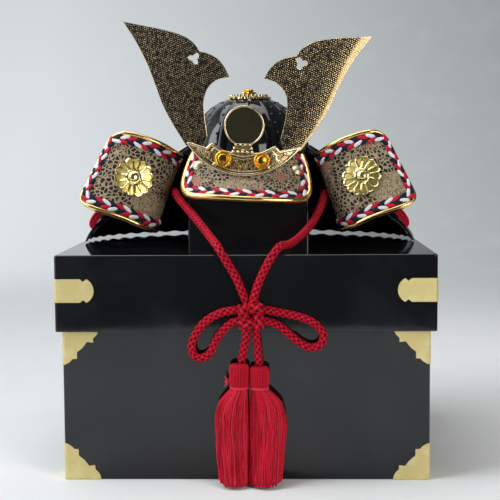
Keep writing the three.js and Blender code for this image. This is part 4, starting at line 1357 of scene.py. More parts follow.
@dataclass(frozen=True)
class Rosette:
    """A chrysanthemum boss: looped petals round a domed middle."""

    radius: float = 15.2
    rise: float = 4.2
    petals: int = 14
    wire: float = 0.78
    petal_width: float = 0.84
    petal_ends: tuple[float, float] = (0.4, 0.97)
    petal_steps: int = 30
    root_width: float = 0.4
    scallop: float = 0.12
    plate: Rows2 = ((0.97, 0), (0.98, 0.06), (0.94, 0.1), (0.5, 0.1), (0.36, 0.14), (0, 0.2))
    collar: Rows2 = ((0.38, 0.2), (0.39, 0.5), (0.33, 0.6), (0.29, 0.5))
    heart: float = 0.27

    def _petal(self, half: float) -> Points:
        """A petal's outline, outward and across: a narrow root, straight sides and a round end.

        Args:
            half: half the petal's width at its end.

        Returns:
            Points in order.
        """
        start, end = (share * self.radius for share in self.petal_ends)
        turn = np.linspace(-math.pi / 2, math.pi / 2, 13)
        cap = coords(end - half * (1 - np.cos(turn)), half * np.sin(turn))
        root = np.array([(start, half * self.root_width), (start, -half * self.root_width)])
        return even_line(np.vstack([cap, root, cap[:1]]), self.petal_steps)[:-1]

    def shape(self, draft: Draft, seat: Seat) -> None:
        """Adds the rosette to a draft.

        Args:
            draft: the piece.
            seat: where it sits.
        """
        radius, rise = self.radius, self.rise
        step = TAU / self.petals
        out, across = self._petal(radius * math.sin(step / 2) * self.petal_width).T
        lift = rise * (0.4 - 0.16 * out / radius)

        def scallop(turn: Points, ring: int) -> Points:
            """Round petal ends at the plate's edge."""
            swing = np.abs((turn / step + 0.5) % 1 - 0.5) * 2
            depth = radius * self.scallop * (1.0 if ring < 3 else 0.3)
            return depth * (np.sqrt(np.maximum(1 - swing**2, 0)) - 1)

        size = np.array([radius, rise])
        # The plate takes darker gold, painted shade in the recess under the petal loops.
        draft.lathe(row_points(self.plate) * size, self.petals * 16, 1, scallop, seat)
        for turn in full_turn(self.petals):
            cos, sin = math.cos(turn), math.sin(turn)
            flat = coords(out * cos - across * sin, out * sin + across * cos, lift)
            draft.tube(seat.put(flat), self.wire, 8, closed=True)
        fall = np.linspace(0, math.pi / 2, 8)
        dome = coords(self.heart * np.cos(fall), 0.5 + 0.5 * np.sin(fall))
        draft.lathe(np.vstack([self.collar, dome]) * size, 48, seat=seat)


@dataclass
class Visor:
    """The peak over the brow, with its two studs."""

    top: float = 70.0
    bottom: float = 35.0
    top_radius: float = 49.2
    bottom_radius: float = 80.0
    top_angle: float = math.radians(60)
    bottom_angle: float = math.radians(38)
    half_width: float = 48.0
    corner: float = 13.0
    thickness: float = 1.6
    rim_radius: float = 2.5
    flowers: Rows2 = ((23.0, 22.0), (-34.0, 30.0))
    patch: Rows2 = ((-3.0, 36.0), (15.0, 12.0))
    stud_angle: float = 39.4
    stud_height: float = 58.6
    stud_rows: Rows2 = ((4.4, 0.2), (4.5, 0.7), (4.0, 1.1), (3.7, 1.6), (2.8, 2.4), (1.5, 2.9), (0.0, 3.05))

    def __post_init__(self) -> None:
        """Works out the visor's length down its slope."""
        self.length = math.hypot(self.bottom_radius - self.top_radius, self.top - self.bottom)

    def surface(self, across: Points, down: Points) -> Points:
        """The cone's spots from across and down."""
        share = down / self.length
        angle = lerp(self.top_angle, self.bottom_angle, share) * across / self.half_width
        reach = lerp(self.top_radius, self.bottom_radius, share)
        return coords(reach * np.sin(angle), -reach * np.cos(angle), lerp(self.top, self.bottom, share))

    def outline(self, inset: float) -> Points:
        """The outline from one upper end round to the other."""
        half, low, corner = self.half_width - inset, self.length - inset, self.corner - inset / 2
        return np.vstack(
            [
                [(-half, 0.0), (-half, low - corner)],
                quadratic((-half, low - corner), (-half, low), (corner - half, low)),
                [(half - corner, low)],
                quadratic((half - corner, low), (half, low), (half, low - corner)),
                [(half, 0.0)],
            ]
        )

    def rows(self, inset: float) -> tuple[Points, Points]:
        """A grid over the sheet, inside the outline."""
        half, low, corner = self.half_width - inset, self.length - inset, self.corner
        bend = low - corner * np.linspace(1, 0, 16) ** ROW_CROWDING
        down = np.concatenate([np.linspace(0, low - corner, 14)[:-1], bend])
        past = np.maximum(0, down - (low - corner)) / corner
        reach = half - corner * (1 - np.sqrt(1 - np.minimum(past, 1))) ** 2
        across = reach[:, None] * np.linspace(-1, 1, 61)
        return across, np.broadcast_to(down[:, None], across.shape)

    def build(self) -> None:
        """Builds the panel and the studs."""
        leather = PrintedLeather("visor_leather", self.flowers, *self.patch)
        panel = Panel("visor", self, -1.0, leather, PEAK_LEAN, "visor_rim", "visor_braid", self.rim_radius)
        panel.build()
        share = (self.top - self.stud_height) / (self.top - self.bottom)
        angle = math.degrees(lerp(self.top_angle, self.bottom_angle, share))
        for side in Side:
            a = np.array([side.value * self.half_width * self.stud_angle / angle])
            b = np.array([share * self.length])
            seat = Seat(panel.raised(a, b, self.thickness / 2)[0], panel.outward(a, b)[0])
            draft = Draft()
            draft.lathe(self.stud_rows, 36, seat=seat)
            node = f"visor_stud_{side.word}"
            draft.build(f"{node}_dome", [STUD_GOLD], Slot.GOLD, [node], PEAK_LEAN)


@dataclass
class Crest:
    """The crescent holder with its relief, the mirror, and the two horns."""

    front: float = -66.2
    bend: float = 0.0035
    thickness: float = 2.2
    arc_radius: float = 52.6
    low: float = 53.8
    tip: float = 43.0
    top: Rows2 = ((0, 69), (15.2, 71.6), (24.5, 76.6), (28, 73), (43.6, 77))
    rims: Rows2 = ((0.7, 1.25), (3.1, 0.6))
    scrolls: tuple[tuple[float, ...], ...] = (
        (7.2, 61.4, 3.4, 1.2, 2.6, -1), (2.6, 60.0, 2.2, 1.0, 1.2, 1), (23.2, 68.6, 3.1, 1.3, 3.6, -1),
        (27.0, 67.6, 2.6, 1.2, 0.4, 1), (32.4, 71.2, 2.3, 1.2, 3.4, -1), (20.2, 61.0, 1.8, 1.1, 4.4, 1),
    )
    stem: Rows2 = ((1.6, 57.2), (3.4, 62.0), (4.6, 66.0), (3.4, 68.0))
    pebble_tries: int = 1500
    pebble_margins: tuple[float, float] = (3.4, 3.2)
    pebble_room: float = 0.8
    pebble_gap: float = 1.55
    pebble_sizes: tuple[float, float] = (0.42, 0.66)
    rosette_rings: Rows2 = (
        (5.9, 0.0), (6.2, 0.5), (6.1, 0.9), (5.5, 1.3), (4.9, 1.0),
        (4.5, 0.7), (4.1, 1.0), (3.7, 1.7), (3.1, 2.1),
    )
    rosette_heart: Rows2 = ((3.1, 2.1), (2.6, 1.6), (2.2, 1.0), (1.7, 1.3), (1.0, 1.9), (0, 2.1))
    rosette_lobes: int = 16
    rosette_across: float = 14.5
    rosette_height: float = 65.6
    mirror_height: float = 90.8
    mirror_radius: float = 15.1
    mirror_back: float = -63.8
    mirror_face: float = 1.75
    mirror_rim: tuple[float, float, float] = (0.7, 1.5, 0.8)
    foot_out: float = 3.0
    foot_rows: tuple[tuple[float, int, float, float], ...] = (
        (71.4, 5, 7.2, 1.35), (74.1, 2, 6.4, 1.2), (76.6, 4, 5.4, 1.15)
    )
    horn_at: tuple[float, float] = (36.0, 2.5)
    stretches: dict[Side, tuple[float, float]] = field(
        default_factory=lambda: {Side.LEFT: (4.0, 3.0), Side.RIGHT: (0.0, 0.0)}
    )
    seed: int = 7

    def build(self) -> None:
        """Builds the holder, the mirror and the horns."""
        self._holder()
        self._rosettes()
        self._mirror()
        across, behind = self.horn_at
        for side in Side:
            Horn(side, self.depth(across) + behind, stretch=self.stretches[side]).build()

    def depth(self, x: float | Points) -> float | Points:
        """How far forward the crest's plate lies at a distance across."""
        return self.front + self.bend * np.square(x)

    def _upper(self, x: Points) -> Points:
        """The plate's upper edge."""
        rows = np.array(self.top, float)
        return np.interp(np.abs(x), rows[:, 0], rows[:, 1])

    def _lower(self, x: Points) -> Points:
        """The plate's round lower edge."""
        return self.low + self.arc_radius - np.sqrt(self.arc_radius**2 - np.square(x))

    def _on_face(self, flat: Points, lift: float) -> Points:
        """Flat spots (across, up) on the plate's face."""
        return coords(flat[:, 0], self.depth(flat[:, 0]) - self.thickness / 2 - lift, flat[:, 1])

    def _outline(self, inset: float) -> Points:
        """The plate's outline, inside by an inset.

        Args:
            inset: how far inside.

        Returns:
            A ring of flat points.
        """
        x = np.linspace(-self.tip, self.tip, 141)
        room = np.maximum(self._upper(x) - self._lower(x), 0.01)
        held = np.minimum(inset, room * 0.48)
        low = coords(x, self._lower(x) + held)
        high = coords(x, self._upper(x) - held)
        squeeze = (self.tip - inset * 1.6) / self.tip
        ring = np.vstack([low, high[::-1]])
        ring[:, 0] *= squeeze
        return even_line(np.vstack([ring, ring[:1]]), 240)[:-1]

    def _holder(self) -> None:
        """Builds the plate, its rims, scrolls and pebbled ground."""
        draft = Draft()
        x = np.linspace(-self.tip, self.tip, 97)
        rows = np.linspace(0, 1, 9)
        z = lerp(self._upper(x)[:, None], self._lower(x)[:, None], rows)
        wide = np.broadcast_to(x[:, None], z.shape)
        half = self.thickness / 2
        face = coords(wide, self.depth(wide) - half + 0.5, z)
        back = coords(wide, self.depth(wide) + half, z)
        draft.sheet(face, back)
        for inset, radius in self.rims:
            draft.tube(self._on_face(self._outline(inset), -0.25), radius, 10, 1, closed=True)
        for line in self._scrolls():
            draft.tube(self._on_face(line, -0.2), np.linspace(0.8, 0.5, len(line)), 7, 1)
        self._pebbles(draft)
        finishes = [OLD_GOLD, PALE_GOLD]
        draft.build("crest_holder_relief", finishes, Slot.DARK_GOLD, ["crest_holder"], CREST_LEAN)

    def _scrolls(self) -> list[Points]:
        """Scrolling tendrils of the relief, mirrored about the middle."""
        lines = []
        share = np.linspace(0, 1, 26)
        for sign in (-1, 1):
            mirror = np.array([sign, 1])
            for middle_x, middle_z, reach, turns, start, spin in self.scrolls:
                curl = polar(reach * (1 - 0.8 * share), start + spin * share * turns * TAU)[:, :2]
                lines.append((curl + (middle_x, middle_z)) * mirror)
            lines.append(smooth_line(row_points(self.stem) * mirror, 8))
        return lines

    def _pebbles(self, draft: Draft) -> None:
        """Scatters beads over the relief's ground."""
        chance = random.Random(self.seed)
        placed: list[tuple[float, float]] = []
        below, above = self.pebble_margins
        for _ in range(self.pebble_tries):
            x = chance.uniform(-self.tip, self.tip)
            low, high = float(self._lower(np.array(x))) + below, float(self._upper(np.array(x))) - above
            if high - low < self.pebble_room:
                continue
            z = chance.uniform(low, high)
            if any((x - px) ** 2 + (z - pz) ** 2 < self.pebble_gap for px, pz in placed):
                continue
            placed.append((x, z))
            size = chance.uniform(*self.pebble_sizes)
            spot = self._on_face(np.array([(x, z)]), -0.35)[0]
            draft.bead(spot, np.eye(3) * size, 0, 3, 6)

    def _rosettes(self) -> None:
        """Sets the two orange-gold rosettes on the holder."""
        for side in Side:
            x = side.value * self.rosette_across
            slope = 2 * self.bend * x
            spot = np.array([x, self.depth(x) - self.thickness / 2 - 0.3, self.rosette_height])
            seat = Seat(spot, np.array([slope, -1.0, 0.0]))
            draft = Draft()

            def petal(turn: Points, ring: int) -> Points:
                """Small lobes round the outer rings."""
                return (0.22 if ring < 5 else 0.1) * np.cos(turn * self.rosette_lobes)

            draft.lathe(smooth_line(row_points(self.rosette_rings), 3), 128, 0, petal, seat)
            draft.lathe(smooth_line(row_points(self.rosette_heart), 3), 48, 1, seat=seat)
            node = f"crest_rosette_{side.word}"
            draft.build(f"{node}_rings", [ORANGE_GOLD, OLD_GOLD], Slot.GOLD, [node], CREST_LEAN)

    def _mirror(self) -> None:
        """Turns the mirror and builds its beaded foot."""
        seat = Seat(np.array([0.0, self.mirror_back, self.mirror_height]), np.array([0.0, -1.0, 0.0]))
        radius, face = self.mirror_radius, self.mirror_face
        draft = Draft()
        rows = [(0.0, 0.1), (radius - 0.6, 0.1), (radius - 1.25, face), (radius * 0.6, face - 0.03)]
        draft.lathe([*rows, (0.0, face - 0.05)], 96, 0, seat=seat)
        inset, lift, thick = self.mirror_rim
        draft.tube(seat.put(polar(radius - inset, full_turn(120), lift)), thick, 10, 1, closed=True)
        draft.build("mirror_face", [MIRROR_BRONZE, PALE_GOLD], Slot.MIRROR, ["mirror_disc"], CREST_LEAN)
        foot = Draft()
        y = self.mirror_back - self.foot_out
        for level, count, half, size in self.foot_rows:
            for x in np.linspace(-half, half, count):
                foot.bead(np.array([x, y - 1.2, level]), np.eye(3) * size, 1, 6, 10)
            ends = np.array([-half - 0.6, 0.0, half + 0.6])
            foot.tube(coords(ends, y - 0.6, level), 1.45, 10, 0)
        foot.bead(np.array([0.0, y - 1.0, 74.0]), np.diag([3.0, 1.0, 1.7]), 1, 8, 14)
        foot.build("mirror_foot", [OLD_GOLD, PALE_GOLD], Slot.DARK_GOLD, ["mirror_base"], CREST_LEAN)


@dataclass
class Horn:
    """One flat blade of the crest, with its three-lobed eye."""

    side: Side
    depth: float
    pivot: float = 36.0
    thickness: float = 1.4
    edge: float = 0.35
    sweep: float = 0.252
    tip: tuple[float, float] = (92.5, 162.5)
    upper: Rows2 = ((68, 160), (54, 157.4), (45.5, 154.2), (39.6, 149.5), (36.2, 144.5))
    lobe: Rows2 = ((29.3, 143), (21.9, 139.1), (16.5, 133), (12.8, 126.4))
    inner: Rows2 = ((20.8, 124.4), (26, 120.7), (29.4, 115.9), (30.9, 110), (30.4, 98), (27.4, 82))
    root: Rows2 = ((31, 70.6), (43, 74.2))
    outer: Rows2 = ((52.4, 88.3), (60.7, 102.5), (67, 117.7), (73.6, 133), (83, 149.4))
    eye: tuple[float, float] = (40.1, 139.2)
    eye_radius: float = 3.4
    eye_turn: float = math.radians(8)
    eye_lobe: float = 0.35
    stretch: tuple[float, float] = (0.0, 0.0)

    def build(self) -> None:
        """Cuts the blade and sets it behind the holder."""
        draft = Draft()
        points, faces, rims = self._blade()
        out, up, deep = points.T
        back = self.depth + self.sweep * (out - self.pivot) + deep
        where = np.column_stack([self.side.value * out, back, up])
        draft.add(where, [face for face, rim in zip(faces, rims) if not rim], 0)
        draft.add(where, [face for face, rim in zip(faces, rims) if rim], 1)
        node = f"horn_{self.side.word}"
        finishes = [HORN_METAL, PALE_GOLD]
        draft.build(f"{node}_blade", finishes, Slot.DARK_GOLD, [node], CREST_LEAN, crease=14)

    def _outline(self) -> Points:
        """The blade's outline as a ring of out and up."""
        runs = [
            smooth_line(row_points([self.tip, *self.upper])),
            smooth_line(row_points([self.upper[-1], *self.lobe])),
            smooth_line(row_points([self.lobe[-1], *self.inner])),
            row_points(self.root),
            smooth_line(row_points([self.root[-1], *self.outer, self.tip])),
        ]
        ring = [runs[0][:-1], runs[1][:-1], runs[2], runs[3][:1], runs[4][:-1]]
        outline = np.vstack(ring)
        share = np.maximum(0, (outline[:, :1] - self.pivot) / (self.tip[0] - self.pivot))
        return outline + np.array(self.stretch) * np.hstack([share, share**2])

    def _eye(self) -> Points:
        """The three-lobed hole."""
        turn = full_turn(48)
        reach = self.eye_radius * (1 + self.eye_lobe * np.cos(3 * (turn - self.eye_turn)))
        return polar(reach, turn)[:, :2] + self.eye

    def _blade(self) -> tuple[Points, list[tuple[int, ...]], list[bool]]:
        """Fills the outline with its hole, with rounded edges.

        Returns:
            Points as out, up and depth, the faces, and whether each lies on a bright edge. Upper
            edges are not bright.
        """
        curve = bpy.data.curves.new("horn_outline", "CURVE")
        curve.dimensions = "2D"
        curve.fill_mode = "BOTH"
        curve.extrude = self.thickness / 2 - self.edge
        curve.bevel_depth = self.edge
        curve.bevel_resolution = 3
        curve.offset = -self.edge
        for ring in (self._outline(), self._eye()):
            spline = curve.splines.new("POLY")
            spline.points.add(len(ring) - 1)
            flat = np.column_stack([ring, np.zeros(len(ring)), np.ones(len(ring))])
            spline.points.foreach_set("co", flat.ravel())
            spline.use_cyclic_u = True
        holder = bpy.data.objects.new("horn_outline", curve)
        mesh = bpy.data.meshes.new_from_object(holder)
        points = np.array([vertex.co[:] for vertex in mesh.vertices])
        faces = [tuple(face.vertices) for face in mesh.polygons]
        rims = [abs(face.normal.z) < 0.995 and face.normal.y < 0.3 for face in mesh.polygons]
        bpy.data.objects.remove(holder)
        bpy.data.curves.remove(curve)
        bpy.data.meshes.remove(mesh)
        return points, faces, rims


@dataclass
class Flap:
    """A turned-back flap with its rosette."""

    side: Side
    width: float = 70.0
    height: float = 62.0
    corner: float = 9.0
    thickness: float = 1.5
    margin: float = 0.5
    outer_share: float = 0.5
    top: Rows3 = (
        (104.8, -36, 87.2), (93.3, -38, 88.2), (78.1, -36, 84.5),
        (64.2, -31, 78.6), (53.4, -20, 71), (52.6, -8, 71),
    )
    bottom: Rows3 = (
        (131, -54, 33), (113.9, -57, 26.4), (97.4, -54, 20.6),
        (83.4, -49, 14), (74.1, -38, 9.4), (73, -32, 9),
    )
    edge_steps: int = 400
    rosette: Rosette = Rosette()
    rosette_along: float = 0.44
    rosette_down: float = 0.5
    rim_from: float = 3.0

    def __post_init__(self) -> None:
        """Draws the flap's two edges."""
        mirror = np.array([self.side.value, 1, 1])
        lines = [smooth_line(row_points(rows) * mirror, 40) for rows in (self.top, self.bottom)]
        self.edges = [even_line(line, self.edge_steps) for line in lines]

    def surface(self, along: Points, down: Points) -> Points:
        """The flap's spots from along and down."""
        share = np.clip(np.asarray(along) / self.width, 0, 1) * self.edge_steps
        steps = np.arange(self.edge_steps + 1)
        top, bottom = (
            np.stack([np.interp(share, steps, way) for way in edge.T], axis=-1) for edge in self.edges
        )
        return lerp(top, bottom, (np.asarray(down) / self.height)[..., None])

    def outline(self, inset: float) -> Points:
        """The outline from the upper inner end round the outer side."""
        low, corner, end = self.height - inset, self.corner - inset / 2, self.width - self.margin
        outer = inset * self.outer_share
        return np.vstack(
            [
                [(end, inset), (outer + corner, inset)],
                quadratic((outer + corner, inset), (outer, inset), (outer, inset + corner)),
                [(outer, low - corner)],
                quadratic((outer, low - corner), (outer, low), (outer + corner, low)),
                [(end, low)],
            ]
        )

    def rows(self, inset: float) -> tuple[Points, Points]:
        """A grid over the sheet, inside the outline."""
        tall, corner = self.height - 2 * inset, self.corner
        bend = corner * np.linspace(0, 1, 14) ** ROW_CROWDING
        down = np.concatenate([bend, np.linspace(corner, tall - corner, 22)[1:-1], tall - bend[::-1]])
        past = np.maximum(0, corner - np.minimum(down, tall - down)) / corner
        edge = corner * (1 - np.sqrt(1 - np.minimum(past, 1))) ** 2
        along = lerp((inset + edge)[:, None], self.width - self.margin, np.linspace(0, 1, 61))
        return along, np.broadcast_to((inset + down)[:, None], along.shape)

    def build(self) -> None:
        """Builds the panel and its rosette."""
        shares = {
            Side.LEFT: (((0.13, 0.12), (0.85, 0.42)), (0.75, 0.74)),
            Side.RIGHT: (((0.78, 0.22), (0.25, 0.15)), (0.2, 0.72)),
        }
        flowers, patch = shares[self.side]
        word = self.side.word
        leather = PrintedLeather(
            f"flap_leather_{word}",
            flowers=tuple((x * self.width, y * self.height) for x, y in flowers),
            patch=(patch[0] * self.width, patch[1] * self.height),
        )
        nodes = [f"flap_{trim}{word}" for trim in ("", "rim_", "braid_")]
        panel = Panel(nodes[0], self, self.side.value, leather, on_lid, *nodes[1:], rim_from=self.rim_from)
        panel.build()
        a, b = np.array([self.rosette_along * self.width]), np.array([self.rosette_down * self.height])
        seat = Seat(panel.raised(a, b, self.thickness / 2 + 0.2)[0], panel.outward(a, b)[0])
        draft = Draft()
        self.rosette.shape(draft, seat)
        node = f"flap_rosette_{word}"
        draft.build(f"{node}_petals", [ROSETTE_GOLD, SHADED_RECESS_GOLD], Slot.GOLD, [node], on_lid)


@dataclass
class NeckGuard:
    """Four lacquered tiers that flare out behind, the lowest with a wavy edge."""

    tiers: int = 4
    top: float = 76.0
    bottom: float = 1.2
    top_radius: float = 48.7
    side_radius: float = 131.0
    back_radius: float = 104.0
    bulge: float = 1.5
    open_angle: float = math.radians(102)
    thickness: float = 1.5
    lacing_radius: float = 1.1
    lacing_reach: tuple[float, ...] = (1.0, 0.55, 0.1)
    lacing: Rows3 = (
        (-0.01, 0.66, 0.0), (0.0, 0.67, 2.4), (0.008, 0.7, 4.2), (0.01, 0.75, 4.8),
        (0.008, 0.81, 4.0), (0.0, 0.84, 2.2), (-0.01, 0.85, 0.0),
    )
    overlap: float = 0.03
    tuck: float = 2.3
    waves: int = 29
    wave_depth: float = 0.016

    def surface(self, turn: Points, share: Points) -> Points:
        """The flare's spots, by angle from the back and share of the height."""
        flare = 1 - (1 - np.minimum(share, 1)) ** self.bulge
        across = lerp(self.top_radius, self.side_radius, flare)
        deep = lerp(self.top_radius, self.back_radius, flare)
        return coords(across * np.sin(turn), deep * np.cos(turn), lerp(self.top, self.bottom, share))

    def outward(self, turn: Points, share: Points) -> Points:
        """The way the flare's outer face looks."""
        return surface_normal(self.surface, turn, np.clip(share, SLOPE_STEP, 1 - SLOPE_STEP))

    def build(self) -> None:
        """Builds the tiers and the lacing at their ends."""
        for tier in range(self.tiers):
            self._tier(tier)

    def _tier(self, tier: int) -> None:
        """Builds one tier.

        Args:
            tier: its number from the top.
        """
        first, last = tier == 0, tier == self.tiers - 1
        turn = np.linspace(-self.open_angle, self.open_angle, self.waves * 10 + 1)
        start = 0.0 if first else tier / self.tiers - self.overlap
        rise = self.wave_depth / 2 * (1 - np.cos(turn / self.open_angle * math.pi * self.waves))
        end = (tier + 1) / self.tiers - (rise if last else 0)
        local = np.linspace(0, 1, 9)[:, None]
        share = lerp(start, end, local) * np.ones_like(turn)
        wide = np.broadcast_to(turn, share.shape)
        out = self.outward(wide, share)
        middle = self.surface(wide, share) - out * (0 if first else self.tuck) * (1 - local)[..., None]
        half = self.thickness / 2
        draft = Draft()
        draft.sheet(middle + out * half, middle - out * half)
        if last:
            self._lacing(draft)
        node = f"neck_guard_tier_{tier + 1}"
        finishes = [HELMET_LACQUER, RED_SILK]
        draft.build(f"{node}_lacquered", finishes, Slot.HELMET, [node], on_lid, crease=50)

    def _lacing(self, draft: Draft) -> None:
        """Ties a few short red strands over the tiers' edge at each end."""
        past, shares, lift = row_points(self.lacing).T
        for side in Side:
            turns = side.value * (self.open_angle + past)
            foot, out = self.surface(turns, shares), self.outward(turns, shares)
            for reach in self.lacing_reach:
                draft.tube(smooth_line(foot + out * lift[:, None] * reach, 5), self.lacing_radius, 8, 1)


@dataclass(frozen=True)
class BraidedCord:
    """Eight strands plaited round a dark core, which is painted shade between them."""

    middle: float = 2.0
    wander: float = 0.36
    thick: float = 0.8
    wide: float = 1.2
    lead: float = 18.0
    core: float = 1.7
    step: float = 0.6
    strands: int = 4
    sides: int = 6
    # Painted shade on the strands: how deep it lies, how much it swings with the over-and-under wave, and
    # how much it grows round each strand's underside.
    shade: tuple[float, float, float] = (0.38, 0.42, 1.7)

    @property
    def diameter(self) -> float:
        """The cord's outside diameter."""
        return 2 * (self.middle + self.wander + self.thick)

    def lay(self, draft: Draft, route: Points) -> Points:
        """Plaits the strands along a route.

        Args:
            draft: the piece.
            route: points that the cord follows.

        Returns:
            The cord's middle line.
        """
        length = line_length(route)
        line = even_line(route, max(8, int(length / self.step)))
        run = np.linspace(0, length, len(line))
        first, second = carried_frames(line)
        spin = TAU / self.lead
        level, swing, edge = self.shade
        for way in (1, -1):
            for strand in range(self.strands):
                turn = way * (spin * run) + (strand + (0 if way > 0 else 0.5)) * TAU / self.strands
                wave = way * np.sin(self.strands * spin * run)
                reach = self.middle + self.wander * wave
                out = np.cos(turn)[:, None] * first + np.sin(turn)[:, None] * second
                path = line + out * reach[:, None]
                # Painted shade, deeper where a strand passes under the others.
                under, flat = level - swing * wave, self.thick / self.wide
                draft.tube(path, self.wide, self.sides, 0, out, flat, False, under, edge)
        # The dark core is painted shade that shows between the strands.
        draft.tube(line, self.core, 8, 1)
        return line


@dataclass
class CordSet:
    """The chin cord's loop, the bow tied on the lid's front, and the two tassels."""

    cord: BraidedCord = BraidedCord()
    loop_y: float = -128.9
    knot_cord: BraidedCord = BraidedCord(2.6, 0.4, 1.0, 1.5, 22.0, 2.3)
    knot: tuple[float, float, float] = (4.1, -130.9, -42.2)
    knot_spread: float = 4.9
    knot_reach: float = 8.6
    knot_lift: float = 2.6
    knot_turn: float = math.radians(12)
    chin: Rows3 = (
        (2.2, -128.8, -36), (-0.6, -129, -29.4), (-6.2, -128.8, -15.8), (-13, -129.2, -4),
        (-17.2, -128.9, 2.8), (-19.5, -124.8, 6.3), (-22, -116, 8.2), (-25.5, -105, 11.2),
        (-38.2, -75, 22.9), (-47.6, -52, 30.8), (-53.4, -39, 36), (-57, -28, 40.4),
        (-58.4, -10, 39.8), (-58.6, 10, 35.2), (-55.3, 30, 28.6), (-44, 37.5, 26.8),
        (-20, 41, 26.4), (0, 41.4, 26.2), (22, 40.6, 25.6), (45, 36.6, 24), (56.2, 29, 22.6),
        (59.2, 8, 31), (60, -13, 38.6), (58, -28, 33.8), (55.4, -42, 27.9), (52.2, -54, 22.9),
        (48.6, -66, 18.2), (40.5, -90, 11.1), (31, -113, 6.2), (24.6, -123.8, 5.8),
        (20.6, -128.8, 1.6), (15.8, -129.6, -6), (9.8, -130.4, -18.5), (6.2, -131.4, -29.4),
        (4.6, -131.6, -36),
    )
    left_loop: Rows2 = (
        (-2, -38.2), (-7.6, -38.6), (-17.2, -40.4), (-27.3, -46), (-34.5, -54.6), (-37.9, -64),
        (-36.1, -70.6), (-31.1, -72.4), (-25.3, -69.2), (-21.7, -61.9), (-15.8, -52.9), (-8, -46.6),
        (-2.6, -46.6), (0.3, -53.6), (-1, -65), (-3, -75),
    )
    right_loop: Rows2 = (
        (10, -38.2), (15.6, -38.6), (25.7, -40.6), (39.9, -44), (49.9, -49.1), (54.6, -56.2),
        (52.8, -62.8), (47.1, -65.3), (39.9, -62.8), (31.4, -56.2), (23.6, -49.6), (16, -46.6),
        (10.4, -46.6), (7.6, -53.6), (8.6, -66), (9.6, -77.4),
    )
    crossing: tuple[float, float, float] = (0.0, 1.0, 0.5)

    def build(self) -> None:
        tassels = {side: Tassel.of(side).build() for side in Side}
        knot = self._knot()
        chin = Draft()
        line = self.cord.lay(chin, smooth_line(row_points(self.chin)))
        piece = chin.build("chin_cord_silk", CORD_SILKS, Slot.CORD, ["chin_cord"], on_lid, crease=80)
        self._declare(piece, line)
        for side, loop in zip(Side, (self.left_loop, self.right_loop)):
            flat = row_points(loop)
            route = np.column_stack([flat[:, 0], np.full(len(flat), self.loop_y), flat[:, 1]])
            route[-5:-2, 1] -= self.crossing
            draft = Draft()
            line = self.cord.lay(draft, smooth_line(route))
            nodes = [f"cord_loop_{side.word}", f"cord_tail_{side.word}"]
            piece = draft.build(f"bow_cord_{side.word}", CORD_SILKS, Slot.CORD, nodes, on_lid, crease=80)
            self._declare(piece, line)

    def _declare(
        self, piece: bpy.types.Object, line: Points
    ) -> None:
        """Logs the length of a cord's middle line.

        Args:
            piece: the cord's mesh.
            line: its middle line.
        """
        length = line_length(line) * MM
        LOG.info("%s is %.1f mm long", piece.name, length / MM)

    def _knot(self) -> bpy.types.Object:
        """Weaves the knot: four short runs, each over the next, round a small hole.

        Returns:
            The knot.
        """
        draft = Draft()
        middle = np.array(self.knot)
        share = np.linspace(-1, 1, 30)
        for run in range(4):
            face = run * TAU / 4 + self.knot_turn
            out = np.array([math.cos(face), 0.0, math.sin(face)])
            along = np.array([out[2], 0.0, -out[0]])
            lift = self.knot_lift * np.sin((share + 0.12) * math.pi * 0.62)
            bow = self.knot_spread * (1 - 0.22 * share**2)
            route = middle + bow[:, None] * out + self.knot_reach * share[:, None] * along
            route[:, 1] -= lift
            self.knot_cord.lay(draft, route)
        return draft.build("cord_knot_woven", CORD_SILKS, Slot.CORD, ["cord_knot"], on_lid, crease=80)


